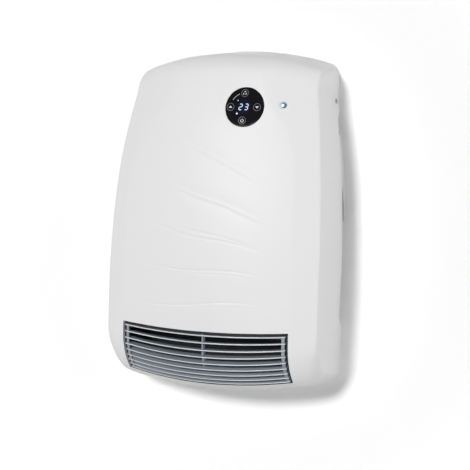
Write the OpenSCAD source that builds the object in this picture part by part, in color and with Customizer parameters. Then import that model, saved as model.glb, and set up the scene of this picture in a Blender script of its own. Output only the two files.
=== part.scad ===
// Bathroom wall fan heater: a moulded white cover over a rear housing that hangs on a wall plate,
// with a cross-flow fan, a ceramic heating element and a curved outlet grille low on the front.
// Sizes are millimetres. Shapes are laid out in "depth" (distance from the wall) and height above
// the lowest point; the whole part is then moved so that the wall-screw pattern is at the origin.
// The front faces -Y, the wall is the plane Y = 0.

/* [Body] */
// Width of the cover at its widest, near the bottom
body_w = 266; // [250:1:290]
// Height from the lowest to the highest point
body_h = 390; // [370:1:420]
// Depth from the wall to the front at the middle of the crown
body_d = 97; // [92:1:112]
// How much each side draws in from the widest point to the top
shoulder = 23; // [10:1:30]
// Height above the bottom where the sides start to draw in
shoulder_z = 125; // [100:1:150]
// Depth of the flat side wall where the facet begins
side_d = 72; // [66:1:76]
// Draft of each side wall over its depth
side_draft = 2.2; // [1:0.1:4]
// Width of the slanted facet beside the front
facet_w = 26; // [18:1:30]
// Depth of the slanted facet
facet_d = 12.5; // [8:0.5:16]
// Radius of the vertical bow of the front
bow_r = 1050; // [800:10:1500]
// Height of the most forward point of the front
bow_z = 140; // [120:1:160]
// Radius of the roll under the front, round the outlet
roll_r = 58; // [50:1:64]
// Angle through which the roll turns under
roll_turn = 64; // [58:1:68]
// Radius of the lower lip
lip_r = 4; // [3.6:0.1:5]
// Radius of the roll at the top of the front
top_r = 28; // [20:1:36]
// Slope of the top wall, down to the front
top_slope = 11; // [6:1:16]
// Drop of the top edge from the middle to the corners
top_arch = 18; // [8:1:24]
// Rise of the bottom edge from the middle to the corners
bottom_arch = 16; // [8:1:22]
// Corner radius at the top
top_corner = 12; // [8:1:18]
// Corner radius at the bottom, at the lip
lip_corner = 22; // [18:1:28]
// Corner radius at the bottom, at the wall
rear_corner = 12; // [8:1:16]
// Wall thickness of the cover
wall = 3; // [2.4:0.1:3.4]
// Depth of the side air intake cut into the rear edge of the cover
intake_d = 9; // [6:0.5:12]
// Height above the bottom where the side intake starts
intake_z0 = 76; // [70:1:90]
// Height above the bottom where the side intake ends
intake_z1 = 316; // [300:1:324]

/* [Outlet grille] */
// Half width of the outlet opening
outlet_half = 102.5; // [96:0.5:103]
// Height along the surface of the plain lip under the outlet
lip_run = 9.5; // [8:0.5:12]
// Height along the surface of the outlet opening
outlet_run = 67; // [60:1:68]
// Number of blades in the grille
blades = 9; // [7:1:10]
// Thickness of each grille blade
blade_t = 1.5; // [1.2:0.1:2]
// Depth of each grille blade behind the surface
blade_d = 10.5; // [8:0.5:11]

/* [Display] */
// Sideways place of the round touch display
display_x = 37; // [30:0.1:42]
// Distance of the display's centre below the top of the heater
display_drop = 73; // [68:0.5:80]
// Diameter of the display lens
display_dia = 45; // [40:0.5:50]
// Thickness of the display lens
lens_t = 2.4; // [2:0.1:3]
// Sideways place of the small indicator
lamp_x = 80.6; // [76:0.1:82]
// Distance of the indicator below the top of the heater
lamp_drop = 65; // [60:0.5:76]
// Diameter of the indicator lens
lamp_dia = 6; // [5:0.5:7]

/* [Fan] */
// Outer radius of the cross-flow impeller
fan_r = 28; // [25:0.5:29]
// Radial depth of the impeller blades
fan_blade = 6.2; // [5:0.1:7]
// Number of impeller blades
fan_blades = 28; // [20:1:32]
// Thickness of an impeller blade
fan_blade_t = 0.9; // [0.7:0.1:1.2]
// Length of the impeller
fan_len = 170; // [160:1:172]
// Sideways place of the impeller's left end
fan_x0 = -104; // [-105:0.5:-103]
// Depth of the fan axis from the wall
fan_d = 44; // [43:0.5:46]
// Height of the fan axis above the bottom
fan_z = 130; // [126:1:134]
// Radius of the fan shaft
shaft_r = 2.5; // [2:0.1:3]
// Thickness of the fan end plates
plate_t = 1.5; // [1:0.1:2]
// Thickness of the air guides
guide_t = 1.8; // [1.5:0.1:2.2]
// Length of the motor's steel core
core_len = 20; // [16:1:22]
// Radius of the motor's rotor
rotor_r = 16; // [14:0.5:16.5]

/* [Heating element] */
// Length of the finned element
element_len = 178; // [160:1:184]
// Width of the finned element across the duct
element_w = 36; // [30:1:37]
// Thickness of the finned element along the air flow
element_t = 12; // [10:0.5:13]
// Tilt of the element towards the outlet
element_tilt = 25; // [20:1:28]
// Pitch of the element's fins
fin_pitch = 5.5; // [5:0.5:8]

/* [Electronics] */
// Length of the control board
board_l = 96; // [90:1:100]
// Height of the control board
board_h = 62; // [58:1:66]
// Thickness of the boards
board_t = 1.6; // [1.2:0.1:2]

/* [Wall mounting] */
// Sideways distance between the wall screws
pattern_w = 140; // [130:1:150]
// Distance up the wall between the wall screws
pattern_h = 90; // [80:1:100]
// Height of the wall-screw pattern's centre above the bottom
pattern_z = 215; // [205:1:225]
// Radius of the wall-screw holes
wall_hole_r = 2.75; // [2.5:0.05:3]
// Thickness of the steel wall plate
bracket_t = 1.5; // [1.2:0.1:1.8]

/* [Fits] */
// Gap between moulded parts that nest
nest = 0.4; // [0.3:0.05:0.6]
// Gap where one part rests on another
seat = 0.3; // [0.2:0.05:0.4]
// Radial clearance of running shafts
running = 0.05; // [0.03:0.01:0.08]
// Radial clearance of screws and pressed pins
snug = 0.03; // [0.02:0.01:0.05]

/* [Hidden] */
$fn = 64;

// Outline rules
half_w = body_w / 2;
arch_top_zone = [body_h - 155, body_h - 18];
arch_bottom_zone = [8, 120];
corner_top_zone = [body_h - 60, body_h - 14];
corner_bottom_zone = [0, 60];
fade_zone = [body_h - 120, body_h - 40];
shoulder_end = body_h - 38;
bend_b = 3;
bend_c = 3;
bend_c_top = 34;

// Centres of the arcs that make the profile at the middle, as [depth, height]
roll_z = lip_r + (roll_r - lip_r) * sin(roll_turn);
front_lo = asin((roll_z - bow_z) / (bow_r - roll_r));
bow_c = [body_d - bow_r, bow_z];
roll_c = [bow_c[0] + (bow_r - roll_r) * cos(front_lo), roll_z];
lip_c = [roll_c[0] + (roll_r - lip_r) * cos(roll_turn), lip_r];
top_line = body_h - top_r / cos(top_slope);
top_m = tan(top_slope);
top_b = bow_c[0] + top_m * (top_line - bow_z);
top_q = pow(bow_c[0], 2) + pow(top_line - bow_z, 2) - pow(bow_r - top_r, 2);
top_cd = (top_b + sqrt(top_b * top_b - (1 + top_m * top_m) * top_q)) / (1 + top_m * top_m);
top_c = [top_cd, top_line - top_m * top_cd];
front_hi = atan2(top_c[1] - bow_z, top_c[0] - bow_c[0]);

// Section of the cover: crown between the two facets
facet_x = half_w - side_draft - facet_w;
crown_rise = body_d - side_d - facet_d;
crown_r = (facet_x * facet_x + crown_rise * crown_rise) / (2 * crown_rise);
roll_len = roll_r * (roll_turn + front_lo) * PI / 180;
outlet_s0 = lip_run;
outlet_s1 = lip_run + outlet_run;
blade_pitch = (outlet_run - 7.5) / (blades - 1);

// Rear housing
rim_gap = wall + nest + 0.5;
rim_t = 2.2;
rim_d = 22;
base_d0 = bracket_t + seat;
base_t = 2.6;
base_d1 = base_d0 + base_t;
floor_d = base_d1 + seat;

// Fan
fan_x1 = fan_x0 + fan_len;
fan_disc_t = 1.5;
fan_gap = 3;
plate_left_x = fan_x0 - 2.5 - plate_t;
plate_right_x = fan_x1 + 2.5;
duct_half = outlet_half + 1.2;
motor_x0 = plate_right_x + plate_t + 11;
motor_x1 = motor_x0 + core_len;
bearing_l = 5;
motor_bolt = 20;

// Heating element, as [depth, height] of its centre
element_c = [53, 72];

// Electronics
board_x = -22;
board_z = body_h - 128;
board_d = floor_d + 10;
grommet_x = -20;
grommet_z = 222;
grommet_r = 7;
block_x = grommet_x - 21;
block_z = 175;
clamp_z = 200;

// Screws
screw_r = 1.5;
head_r = 3;
head_h = 1.6;
cover_screw_x = half_w - 17;
cover_screw_top = body_h - 64;
cover_screw_spots = [
  [-cover_screw_x, 60], [cover_screw_x, 60], [-84, cover_screw_top], [84, cover_screw_top]
];
side_screw_z = body_h - 59;
side_screw_d = 6;
bracket_w = 164;
bracket_h = 116;
hook_x = 50;
hook_w = 18;
hook_z = pattern_z + bracket_h / 2 - 6;

// Smooth step from 0 to 1 between two heights
function ease(v, zone) =
  let (s = min(1, max(0, (v - zone[0]) / (zone[1] - zone[0])))) s * s * (3 - 2 * s);

// Points along an arc in [depth, height]
function arc(c, r, a0, a1, n, first = 0) =
  [for (i = [first:n]) let (a = a0 + (a1 - a0) * i / n) c + r * [cos(a), sin(a)]];

// Quadratic bend of length t round the corner p between a and b
function bend(a, p, b, t, n) =
  let (
    u = (a - p) / norm(a - p), v = (b - p) / norm(b - p),
    t0 = min(t, 0.8 * norm(a - p)), t1 = min(t, 0.8 * norm(b - p)),
    p0 = p + u * t0, p1 = p + v * t1
  )
  [for (i = [0:n]) let (s = i / n) (1 - s) * (1 - s) * p0 + 2 * s * (1 - s) * p + s * s * p1];

// Half width of the cover at a height, at the wall
function half_at(z) =
  half_w - shoulder * pow(max(0, min(z, shoulder_end) - shoulder_z) / (body_h - shoulder_z), 2);

// Half width at the wall at an actual height, with the drop of the top edge undone
function rest_z(z, steps = 3) =
  steps == 0 ? z : z + top_arch * ease(rest_z(z, steps - 1), arch_top_zone);
function side_at(z) = half_at(rest_z(z));

// Profile at the middle, from the wall under the lip, up the front and back to the wall
function profile(inset, back, n) = concat(
  [[-back, inset]],
  [[lip_c[0] * 0.5, inset]],
  arc(lip_c, max(0.5, lip_r - inset), -90, -roll_turn, 2),
  arc(roll_c, roll_r - inset, -roll_turn, front_lo, n, 1),
  arc(bow_c, bow_r - inset, front_lo, front_hi, n + 4, 1),
  arc(top_c, top_r - inset, front_hi, 90 - top_slope, n - 1, 1),
  [for (s = [0.6, 0.25]) top_point(s, inset)],
  [[-back, body_h - inset / cos(top_slope) + back * top_m]]
);
function top_point(share, inset) =
  let (d = share * (top_c[0] + (top_r - inset) * sin(top_slope)))
  [d, body_h - inset / cos(top_slope) - d * top_m];

// Drop of a corner of radius r at sideways place x
function corner(x, w, r) =
  let (e = min(1, max(0, (abs(x) - (w - r)) / r))) r * (1 - sqrt(max(0, 1 - e * e)));

// Height change of a point, from the arches and the corners
function lift(x, w, d, z) =
  bottom_arch * (1 - ease(z, arch_bottom_zone)) * pow(x / w, 2)
  + (1 - ease(z, corner_bottom_zone))
    * corner(x, w, rear_corner + (lip_corner - rear_corner) * min(1, max(0, d / lip_c[0])))
  - top_arch * ease(z, arch_top_zone) * pow(x / w, 2)
  - ease(z, corner_top_zone) * corner(x, w, top_corner);

// Half section from the rear edge to the middle, as [x, depth at full size]
function half_section(inset, z, n) =
  let (
    w = half_at(z) - inset,
    b = [w - side_draft, side_d - 0.63 * inset],
    c = [half_at(z) - side_draft - facet_w - 0.34 * inset, side_d + facet_d - 0.95 * inset],
    full = body_d - inset,
    rise = full - c[1],
    r = (c[0] * c[0] + rise * rise) / (2 * rise),
    slope = c[0] / sqrt(r * r - c[0] * c[0]),
    bc = bend(b, c, [c[0] - 60, c[1] + 60 * slope], bend_c + bend_c_top * ease(z, fade_zone), 4),
    bb = bend([w, 0], b, c, bend_b, 2),
    e = bc[4],
    miss = e[1] - (full - r + sqrt(r * r - e[0] * e[0]))
  )
  concat(
    [[w, 0]],
    bb,
    [for (s = [1 / 3, 2 / 3]) bb[2] + s * (bc[0] - bb[2])],
    bc,
    [for (i = [1:n]) let (s = 1 - i / n, x = e[0] * s) [x, full - r + sqrt(r * r - x * x) + miss * s]]
  );

// One row of the skin through a profile point
function skin_row(inset, back, p, n) =
  let (
    h = half_section(inset, p[1], n),
    last = len(h) - 1,
    w = h[0][0],
    full = body_d - inset,
    spots = [for (i = [0:2 * last]) i <= last ? h[i] : [-h[2 * last - i][0], h[2 * last - i][1]]]
  )
  [for (q = spots)
    [q[0], back - (p[0] + back) * q[1] / full, p[1] + lift(q[0], w, p[0], p[1])]];

// Moulded wall between the outer surface and the one a wall's thickness behind it, open at the back
module skin_wall(n = 8, m = 6) {
  outer = [for (p = profile(0, 0, n)) skin_row(0, 0, p, m)];
  inner = [for (p = profile(wall, 0, n)) skin_row(wall, 0, p, m)];
  cols = len(outer[0]);
  last = len(outer) - 1;
  half = cols * (last + 1);
  rim = concat(
    [for (k = [0:cols - 1]) k],
    [for (j = [1:last]) j * cols + cols - 1],
    [for (k = [cols - 2:-1:0]) last * cols + k],
    [for (j = [last - 1:-1:1]) j * cols]
  );
  polyhedron(
    points = concat([for (r = outer) each r], [for (r = inner) each r]),
    faces = concat(
      [for (j = [0:last - 1], k = [0:cols - 2]) each
        let (a = j * cols + k, b = a + cols) [[a, b + 1, b], [a, a + 1, b + 1]]],
      [for (j = [0:last - 1], k = [0:cols - 2]) each
        let (a = half + j * cols + k, b = a + cols) [[a, b, b + 1], [a, b + 1, a + 1]]],
      [for (i = [0:len(rim) - 1]) each
        let (a = rim[i], b = rim[(i + 1) % len(rim)]) [[a, a + half, b + half], [a, b + half, b]]]
    ),
    convexity = 6
  );
}

// Sideways places along an edge of half width w with a corner of radius r, from right to left
function edge_places(w, r) =
  let (
    side = concat(
      [for (a = [90:-15:15]) w - r + r * sin(a)],
      [for (i = [0:4]) (w - r) * (1 - i / 5)]
    ),
    last = len(side) - 1
  )
  concat(side, [0], [for (i = [last:-1:0]) -side[i]]);

// Outline that clears the inside of the cover as deep as the housing's rim, as [x, height]
function rim_outline(inset) =
  let (
    i = inset + side_draft * rim_d / side_d,
    low = inset,
    high = body_h - (inset + 0.4) / cos(top_slope) - rim_d * top_m,
    w0 = half_at(0) - i,
    w1 = half_at(high) - i - 0.4,
    side = [for (z = [45:25:345])
      let (w = half_at(z) - i - 0.4 * ease(z, [290, 330])) [w, z + lift(w, w, rim_d, z)]],
    last = len(side) - 1
  )
  concat(
    [for (x = edge_places(w0, rear_corner + 4)) [x, low + lift(x, w0, rim_d, low)]],
    [for (p = side) [-p[0], p[1]]],
    [for (x = edge_places(w1, top_corner)) [-x, high + lift(x, w1, rim_d, high)]],
    [for (k = [last:-1:0]) side[k]]
  );

// Point of the front at sideways place x and run s up from the lip, "inset" behind the surface
function front_run(s, inset) =
  s < roll_len
    ? let (a = s / roll_r * 180 / PI - roll_turn) roll_c + (roll_r - inset) * [cos(a), sin(a)]
    : let (a = front_lo + (s - roll_len) / bow_r * 180 / PI) bow_c + (bow_r - inset) * [cos(a), sin(a)];
function front_point(x, s, inset) =
  let (
    p = front_run(s, inset),
    share = (body_d - crown_r + sqrt(crown_r * crown_r - x * x)) / body_d
  )
  [x, -p[0] * share, p[1] + lift(x, half_at(p[1]), p[0], p[1])];

// Solid that follows the front between two runs, two insets and two sideways places
module front_patch(x0, x1, s0, s1, i0, i1, nx = 8, ns = 1) {
  ring = concat(
    [for (j = [0:ns]) [s0 + (s1 - s0) * j / ns, i0]],
    [for (j = [ns:-1:0]) [s0 + (s1 - s0) * j / ns, i1]]
  );
  m = len(ring);
  points = [for (i = [0:nx]) for (q = ring) front_point(x0 + (x1 - x0) * i / nx, q[0], q[1])];
  polyhedron(
    points = points,
    faces = concat(
      [for (i = [0:nx - 1], k = [0:m - 1]) each
        let (a = i * m + k, b = i * m + (k + 1) % m) [[a, b, b + m], [a, b + m, a + m]]],
      [for (j = [0:ns - 1]) [j + 1, j, m - 1 - j, m - 2 - j]],
      [for (j = [0:ns - 1]) let (b = nx * m) [b + j, b + j + 1, b + m - 2 - j, b + m - 1 - j]]
    ),
    convexity = 4
  );
}

// Run up the front at which the outer surface has a given height
function run_at(z) = roll_len + (asin((z - bow_z) / bow_r) - front_lo) * bow_r * PI / 180;

// Depth of the outer surface at a sideways place and height of the upper or middle cover
function skin_depth(x, z) =
  let (
    zl = z + (rest_z(z) - z) * pow(x / half_at(z), 2),
    h = half_section(0, zl, 7),
    table = [for (i = [len(h) - 1:-1:0]) h[i]]
  )
  lookup(abs(x), table) * (bow_c[0] + sqrt(bow_r * bow_r - pow(zl - bow_z, 2))) / body_d;

// Place children on the front with their Z axis outwards and their Y axis up
module on_front(x, z) {
  p = front_point(x, run_at(z), 0);
  translate(p) rotate([90 - asin((z - bow_z) / bow_r), 0, asin(x / crown_r)]) children();
}

// Move from heights above the bottom to the part's own origin
module seated() { translate([0, 0, -pattern_z]) children(); }
// Cylinder along X, at a depth and height
module rod(r, x0, x1, d, z) { translate([x0, -d, z]) rotate([0, 90, 0]) cylinder(r = r, h = x1 - x0); }
// Cylinder along the depth, from d0 to d1
module stud(r, d0, d1, x, z) { translate([x, -d0, z]) rotate([90, 0, 0]) cylinder(r = r, h = d1 - d0); }
// Box given by its ranges of x, depth and height
module block(x0, x1, d0, d1, z0, z1) { translate([x0, -d1, z0]) cube([x1 - x0, d1 - d0, z1 - z0]); }
// Extrude a [depth, height] drawing along X
module along_x(x0, x1) { translate([x1, 0, 0]) rotate([90, 0, -90]) linear_extrude(x1 - x0) children(); }
// Extrude an [x, height] drawing along the depth
module along_depth(d0, d1) { translate([0, -d0, 0]) rotate([90, 0, 0]) linear_extrude(d1 - d0) children(); }
// Both sides
module both() { children(); mirror([1, 0, 0]) children(); }

// Scalloped intake outline seen from the side, as [depth, height]
module intake_outline(d, ends) {
  polygon([
    [-2, intake_z0 - ends], [0, intake_z0 - ends], each [for (i = [0:6])
      [d * ease(i, [0, 6]), intake_z0 - ends + (ends + 14) * i / 6]],
    each [for (i = [0:6]) [d * (1 - ease(i, [0, 6])), intake_z1 - 8 + (ends + 8) * i / 6]],
    [-2, intake_z1 + ends]
  ]);
}

module front_shell() seated() color([0.93, 0.93, 0.93]) {
  difference() {
    union() {
      skin_wall();
      on_front(display_x, body_h - display_drop)
        translate([0, 0, -lens_t - 5]) cylinder(d = display_dia + 2 * nest + 4, h = 4);
      on_front(lamp_x, body_h - lamp_drop)
        translate([0, 0, -8]) cylinder(d = lamp_dia + 4, h = 6);
      for (p = cover_screw_spots)
        stud(4.2, floor_d, skin_depth(abs(p[0]) + 4.2, p[1]) - wall + 1.4, p[0], p[1]);
    }
    front_patch(-outlet_half, outlet_half, outlet_s0, outlet_s1, -6, wall + 4, 8, 6);
    both() along_x(half_at(intake_z1) - 16, half_w + 4) intake_outline(intake_d, 10);
    on_front(display_x, body_h - display_drop) {
      translate([0, 0, -lens_t]) cylinder(d = display_dia + 2 * nest, h = 12);
      translate([0, 0, -14]) cylinder(d = display_dia - 3, h = 20);
    }
    on_front(lamp_x, body_h - lamp_drop) translate([0, 0, -14]) cylinder(d = lamp_dia + nest, h = 20);
    for (p = cover_screw_spots) stud(screw_r + snug, floor_d - 1, floor_d + 16, p[0], p[1]);
    both() rod(screw_r + 0.3, side_at(side_screw_z) - 12, half_w, side_screw_d, side_screw_z);
    both() rod(head_r + 0.3, side_at(side_screw_z) - 1.2, half_w, side_screw_d, side_screw_z);
  }
}
module rear_housing() seated() color([0.86, 0.86, 0.86]) {
  difference() {
    union() {
      difference() {
        along_depth(0, rim_d) polygon(rim_outline(rim_gap));
        along_depth(base_d1, rim_d + 1) polygon(rim_outline(rim_gap + rim_t));
        along_depth(-1, base_d0) polygon(rim_outline(rim_gap + rim_t));
      }
      both() intake_cheek();
      for (sx = [-1, 1], sz = [-1, 1])
        stud(3.5, base_d1 - 0.5, board_d, board_x + sx * (board_l / 2 - 5), board_z + sz * (board_h / 2 - 5));
      stud(grommet_r + 5, base_d1 - 0.5, base_d1 + 2, grommet_x, grommet_z);
      for (z = [246, 302])
        block(-side_at(z) + 12, side_at(z) - 12, base_d1 - 0.5, base_d1 + 1.5, z - 1, z + 1);
      both() block(side_at(side_screw_z) - rim_gap - 9, side_at(side_screw_z) - rim_gap - 1,
        base_d1 - 0.5, side_screw_d + 7, side_screw_z - 6, side_screw_z + 6);
    }
    for (p = cover_screw_spots) {
      stud(screw_r + 0.25, -1, base_d1 + 2, p[0], p[1]);
    }
    for (sx = [-1, 1], sz = [-1, 1])
      stud(screw_r + snug, base_d1 + 1, board_d + 1,
        board_x + sx * (board_l / 2 - 5), board_z + sz * (board_h / 2 - 5));
    stud(grommet_r, -1, base_d1 + 3, grommet_x, grommet_z);
    both() rod(screw_r + snug, side_at(side_screw_z) - rim_gap - 10, half_w, side_screw_d, side_screw_z);
    both() intake_slots();
    both() block(hook_x - hook_w / 2 - 1.5, hook_x + hook_w / 2 + 1.5, base_d0 - 1, base_d1 + 3,
      hook_z - 13.5, hook_z + seat);
    for (sx = [-1, 1], sz = [-1, 1])
      stud(5.5, base_d0 - 1, base_d1 + 1, sx * pattern_w / 2, pattern_z + sz * pattern_h / 2);
    for (x = [-104, 70], z = [100, 160])
      stud(screw_r + snug, base_d0 - 1, base_d1 + 1, x + end_foot(x), z);
  }
}
// Sideways offset of an end plate's foot screw
function end_foot(x) = x < 0 ? 4 : -6;

// Bulge beside the upper part of the intake, flush with the cover's side
module intake_cheek() {
  intersection() {
    along_depth(0, intake_d - 1.2) polygon(concat(
      [for (z = [190:15:310]) [side_at(z) - 0.5, z]],
      [for (z = [310:-15:190]) [side_at(z) - rim_gap - 0.8, z]]
    ));
    along_x(half_w - 30, half_w + 2) polygon([
      [-1, 196], [0, 196], [2, 214], [intake_d - 1.6, 236], [intake_d - 1.2, 286],
      [intake_d - 3, 294], [0, 297], [-1, 297]
    ]);
  }
}
// Rows of air slots through the rim behind the intake
module intake_slots() {
  pitch = 6;
  for (z = [intake_z0 + 14:pitch:184])
    block(side_at(z) - rim_gap - rim_t - 4, half_w, base_d1 + 1.2, intake_d + 6, z, z + 3);
  for (z = [200:pitch:300])
    block(side_at(z) - rim_gap - rim_t - 4, half_w + 2, intake_d + 0.6, intake_d + 9, z, z + 3);
}

module intake_screens() seated() color([0.25, 0.26, 0.27]) {
  both() intersection() {
    along_depth(base_d1 + 0.6, rim_d - 1) difference() {
      polygon(rim_outline(rim_gap + rim_t + seat));
      polygon(rim_outline(rim_gap + rim_t + seat + 1));
    }
    block(40, half_w, 0, rim_d, intake_z0 + 8, intake_z1 - 8);
  }
}

module wall_plate() seated() color([0.72, 0.73, 0.75]) {
  z0 = pattern_z - bracket_h / 2;
  difference() {
    union() {
      along_depth(0, bracket_t) difference() {
        union() {
          translate([-bracket_w / 2 + 8, z0]) square([bracket_w - 16, bracket_h]);
          translate([-bracket_w / 2, z0 + 8]) square([bracket_w, bracket_h - 16]);
          for (sx = [-1, 1], sz = [-1, 1])
            translate([sx * (bracket_w / 2 - 8), pattern_z + sz * (bracket_h / 2 - 8)]) circle(r = 8);
        }
        translate([grommet_x, grommet_z]) circle(r = 16);
      }
      both() {
        block(hook_x - hook_w / 2, hook_x + hook_w / 2, 0, floor_d + bracket_t, hook_z - bracket_t, hook_z);
        block(hook_x - hook_w / 2, hook_x + hook_w / 2, floor_d, floor_d + bracket_t,
          hook_z - bracket_t, hook_z + 10);
      }
    }
    for (sx = [-1, 1], sz = [-1, 1])
      stud(wall_hole_r, -1, bracket_t + 1, sx * pattern_w / 2, pattern_z + sz * pattern_h / 2);
  }
}

module outlet_grille() seated() color([0.45, 0.5, 0.56]) {
  g = outlet_half - nest;
  lo = outlet_s0 + nest;
  hi = outlet_s1 - nest;
  for (k = [0:blades - 1]) {
    s = outlet_s1 - 3 - k * blade_pitch;
    front_patch(-g + 1.3, g - 1.3, s - blade_t / 2, s + blade_t / 2, 0.9, blade_d - 0.4, 8);
  }
  both() {
    front_patch(g - 2.4, g, lo, hi, 4.2, blade_d, 1, 8);
    front_patch(g - 7.2, g - 1.9, lo + 3, hi - 1.5, 1.3, blade_d - 4.9, 1, 8);
  }
  front_patch(-1.2, 1.2, lo + 0.3, hi - 0.3, 4.5, blade_d + 0.5, 1, 8);
  front_patch(-g + 0.6, g - 0.6, hi - 1, hi + 4, wall + 1.4, wall + 3.8, 8);
  front_patch(-g + 0.6, g - 0.6, lo - 4, lo + 1.6, wall + 1.4, wall + 3.8, 8);
  front_patch(-g + 0.8, g - 0.8, lo, lo + 1.3, 0.8, wall + 2.4, 8);
}

// Air guide behind the fan, as a wall of thickness guide_t along a spiral
function scroll_pts(off) =
  [for (i = [0:10]) let (a = 104 + i * 10, r = fan_r + fan_gap + 0.055 * (a - 104) + off)
    [fan_d + r * cos(a), fan_z + r * sin(a)]];
function lower_guide(off) = [
  for (s = [0:0.125:1]) let (
    p0 = [fan_d + (fan_r + fan_gap + 5.5) * cos(204), fan_z + (fan_r + fan_gap + 5.5) * sin(204)],
    p1 = [16, 84], p2 = [34, 44], p3 = [54, 15.2],
    q = pow(1 - s, 3) * p0 + 3 * s * pow(1 - s, 2) * p1 + 3 * s * s * (1 - s) * p2 + pow(s, 3) * p3,
    t = 3 * pow(1 - s, 2) * (p1 - p0) + 6 * s * (1 - s) * (p2 - p1) + 3 * s * s * (p3 - p2)
  ) q + off * [t[1], -t[0]] / norm(t)
];
module scroll_wall() seated() color([0.3, 0.31, 0.33]) {
  along_x(plate_left_x + plate_t + seat, plate_right_x - seat)
    polygon(concat(
      scroll_pts(0), [for (i = [1:2]) lower_guide(0)[i]],
      [for (i = [2:-1:1]) lower_guide(guide_t)[i]], [for (i = [10:-1:0]) scroll_pts(guide_t)[i]]
    ));
  along_x(-duct_half, duct_half)
    polygon(concat([for (i = [2:8]) lower_guide(0)[i]], [for (i = [8:-1:2]) lower_guide(guide_t)[i]]));
}

module tongue_guide() seated() color([0.3, 0.31, 0.33]) {
  nose = [fan_d + (fan_r + fan_gap + 1) * cos(-18), fan_z + (fan_r + fan_gap + 1) * sin(-18)];
  foot = [76.5, 77];
  along_x(plate_left_x + plate_t + seat, plate_right_x - seat) {
    translate(nose) circle(r = 2.2);
    polygon([nose + [-2, 0], nose + [2.1, 0.4], foot + [guide_t, 8], foot + [-0.4, 8]]);
  }
  along_x(-duct_half, duct_half)
    polygon([foot + [-0.4, 9], foot + [guide_t, 9], foot + [guide_t, 0], foot + [0, 0]]);
}

module duct_cheeks() seated() color([0.3, 0.31, 0.33]) {
  rear = lower_guide(guide_t);
  front = [for (i = [0:6]) front_point(duct_half, outlet_s0 + 4 + i * 12, blade_d + 2)];
  difference() {
    both() along_x(duct_half + 0.15, duct_half + 1.65)
      polygon(concat([for (i = [2:7]) rear[i]], [for (p = front) [-p[1], p[2]]]));
    on_element() translate([-duct_half - 3, -12, -4]) cube([6, 22, 8]);
  }
}

// End plate of the fan housing, with its foot on the rear housing
module end_plate(x, hole) {
  difference() {
    along_x(x, x + plate_t) difference() {
      union() {
        translate([floor_d, 94]) square([62, 56]);
        translate([fan_d, fan_z]) circle(r = fan_r + 3.5);
      }
      translate([fan_d, fan_z]) circle(r = hole);
      for (s = [-1, 1]) translate([fan_d + s * motor_bolt, fan_z]) circle(r = screw_r + snug);
    }
  }
  foot = x < 0 ? [x + plate_t - 0.01, x + plate_t + 12] : [x - 12, x + 0.01];
  difference() {
    block(foot[0], foot[1], floor_d, floor_d + plate_t, 94, 166);
    for (z = [100, 160]) stud(screw_r + snug, floor_d - 1, floor_d + plate_t + 1,
      (x < 0 ? -104 : 70) + end_foot(x), z);
  }
}
module fan_end_plate_left() seated() color([0.74, 0.75, 0.77]) end_plate(plate_left_x, 9);
module fan_end_plate_right() seated() color([0.74, 0.75, 0.77]) end_plate(plate_right_x, 12);

// One forward-curved impeller blade in the plane across the axis
module fan_blade_2d() {
  n = 4;
  function mid(i, off) = let (
    s = i / n, r = fan_r - 0.6 - fan_blade * (1 - s), a = 26 * s * s
  ) [r * cos(a) - off * sin(a + 35), r * sin(a) + off * cos(a + 35)];
  polygon(concat([for (i = [0:n]) mid(i, fan_blade_t / 2)], [for (i = [n:-1:0]) mid(i, -fan_blade_t / 2)]));
}
module fan_impeller() seated() color([0.62, 0.64, 0.67]) {
  discs = 3;
  span = (fan_len - fan_disc_t) / discs;
  difference() {
    union() {
      along_x(fan_x0 + 0.5, fan_x1 - 0.5) translate([fan_d, fan_z])
        for (i = [0:fan_blades - 1]) rotate(i * 360 / fan_blades) fan_blade_2d();
      for (i = [0:discs]) rod(fan_r, fan_x0 + i * span, fan_x0 + i * span + fan_disc_t, fan_d, fan_z);
      rod(6.5, fan_x0, fan_x0 + 9, fan_d, fan_z);
      rod(7.5, fan_x1 - 15, fan_x1, fan_d, fan_z);
    }
    rod(shaft_r + snug, fan_x0 - 1, fan_x0 + 10, fan_d, fan_z);
    rod(shaft_r + snug, fan_x1 - 16, fan_x1 + 1, fan_d, fan_z);
    for (i = [1:discs - 1])
      rod(fan_r - fan_blade - 4, fan_x0 + i * span - 1, fan_x0 + i * span + fan_disc_t + 1, fan_d, fan_z);
  }
}
module fan_pivot() seated() color([0.8, 0.81, 0.83])
  rod(shaft_r, plate_left_x - 5, fan_x0 + 8, fan_d, fan_z);
module pivot_bush() seated() color([0.72, 0.55, 0.3]) difference() {
  rod(5.5, plate_left_x - 4, fan_x0 - 0.8, fan_d, fan_z);
  rod(shaft_r + running, plate_left_x - 5, fan_x0, fan_d, fan_z);
}
module bush_mount() seated() color([0.12, 0.12, 0.12]) difference() {
  union() {
    rod(9 - snug, plate_left_x - 3, plate_left_x + plate_t + 2, fan_d, fan_z);
    rod(11.5, plate_left_x - 3, plate_left_x - 0.1, fan_d, fan_z);
    rod(11.5, plate_left_x + plate_t + 0.1, plate_left_x + plate_t + 1.9, fan_d, fan_z);
  }
  rod(5.5 + snug, plate_left_x - 5, plate_left_x + 8, fan_d, fan_z);
}

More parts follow.
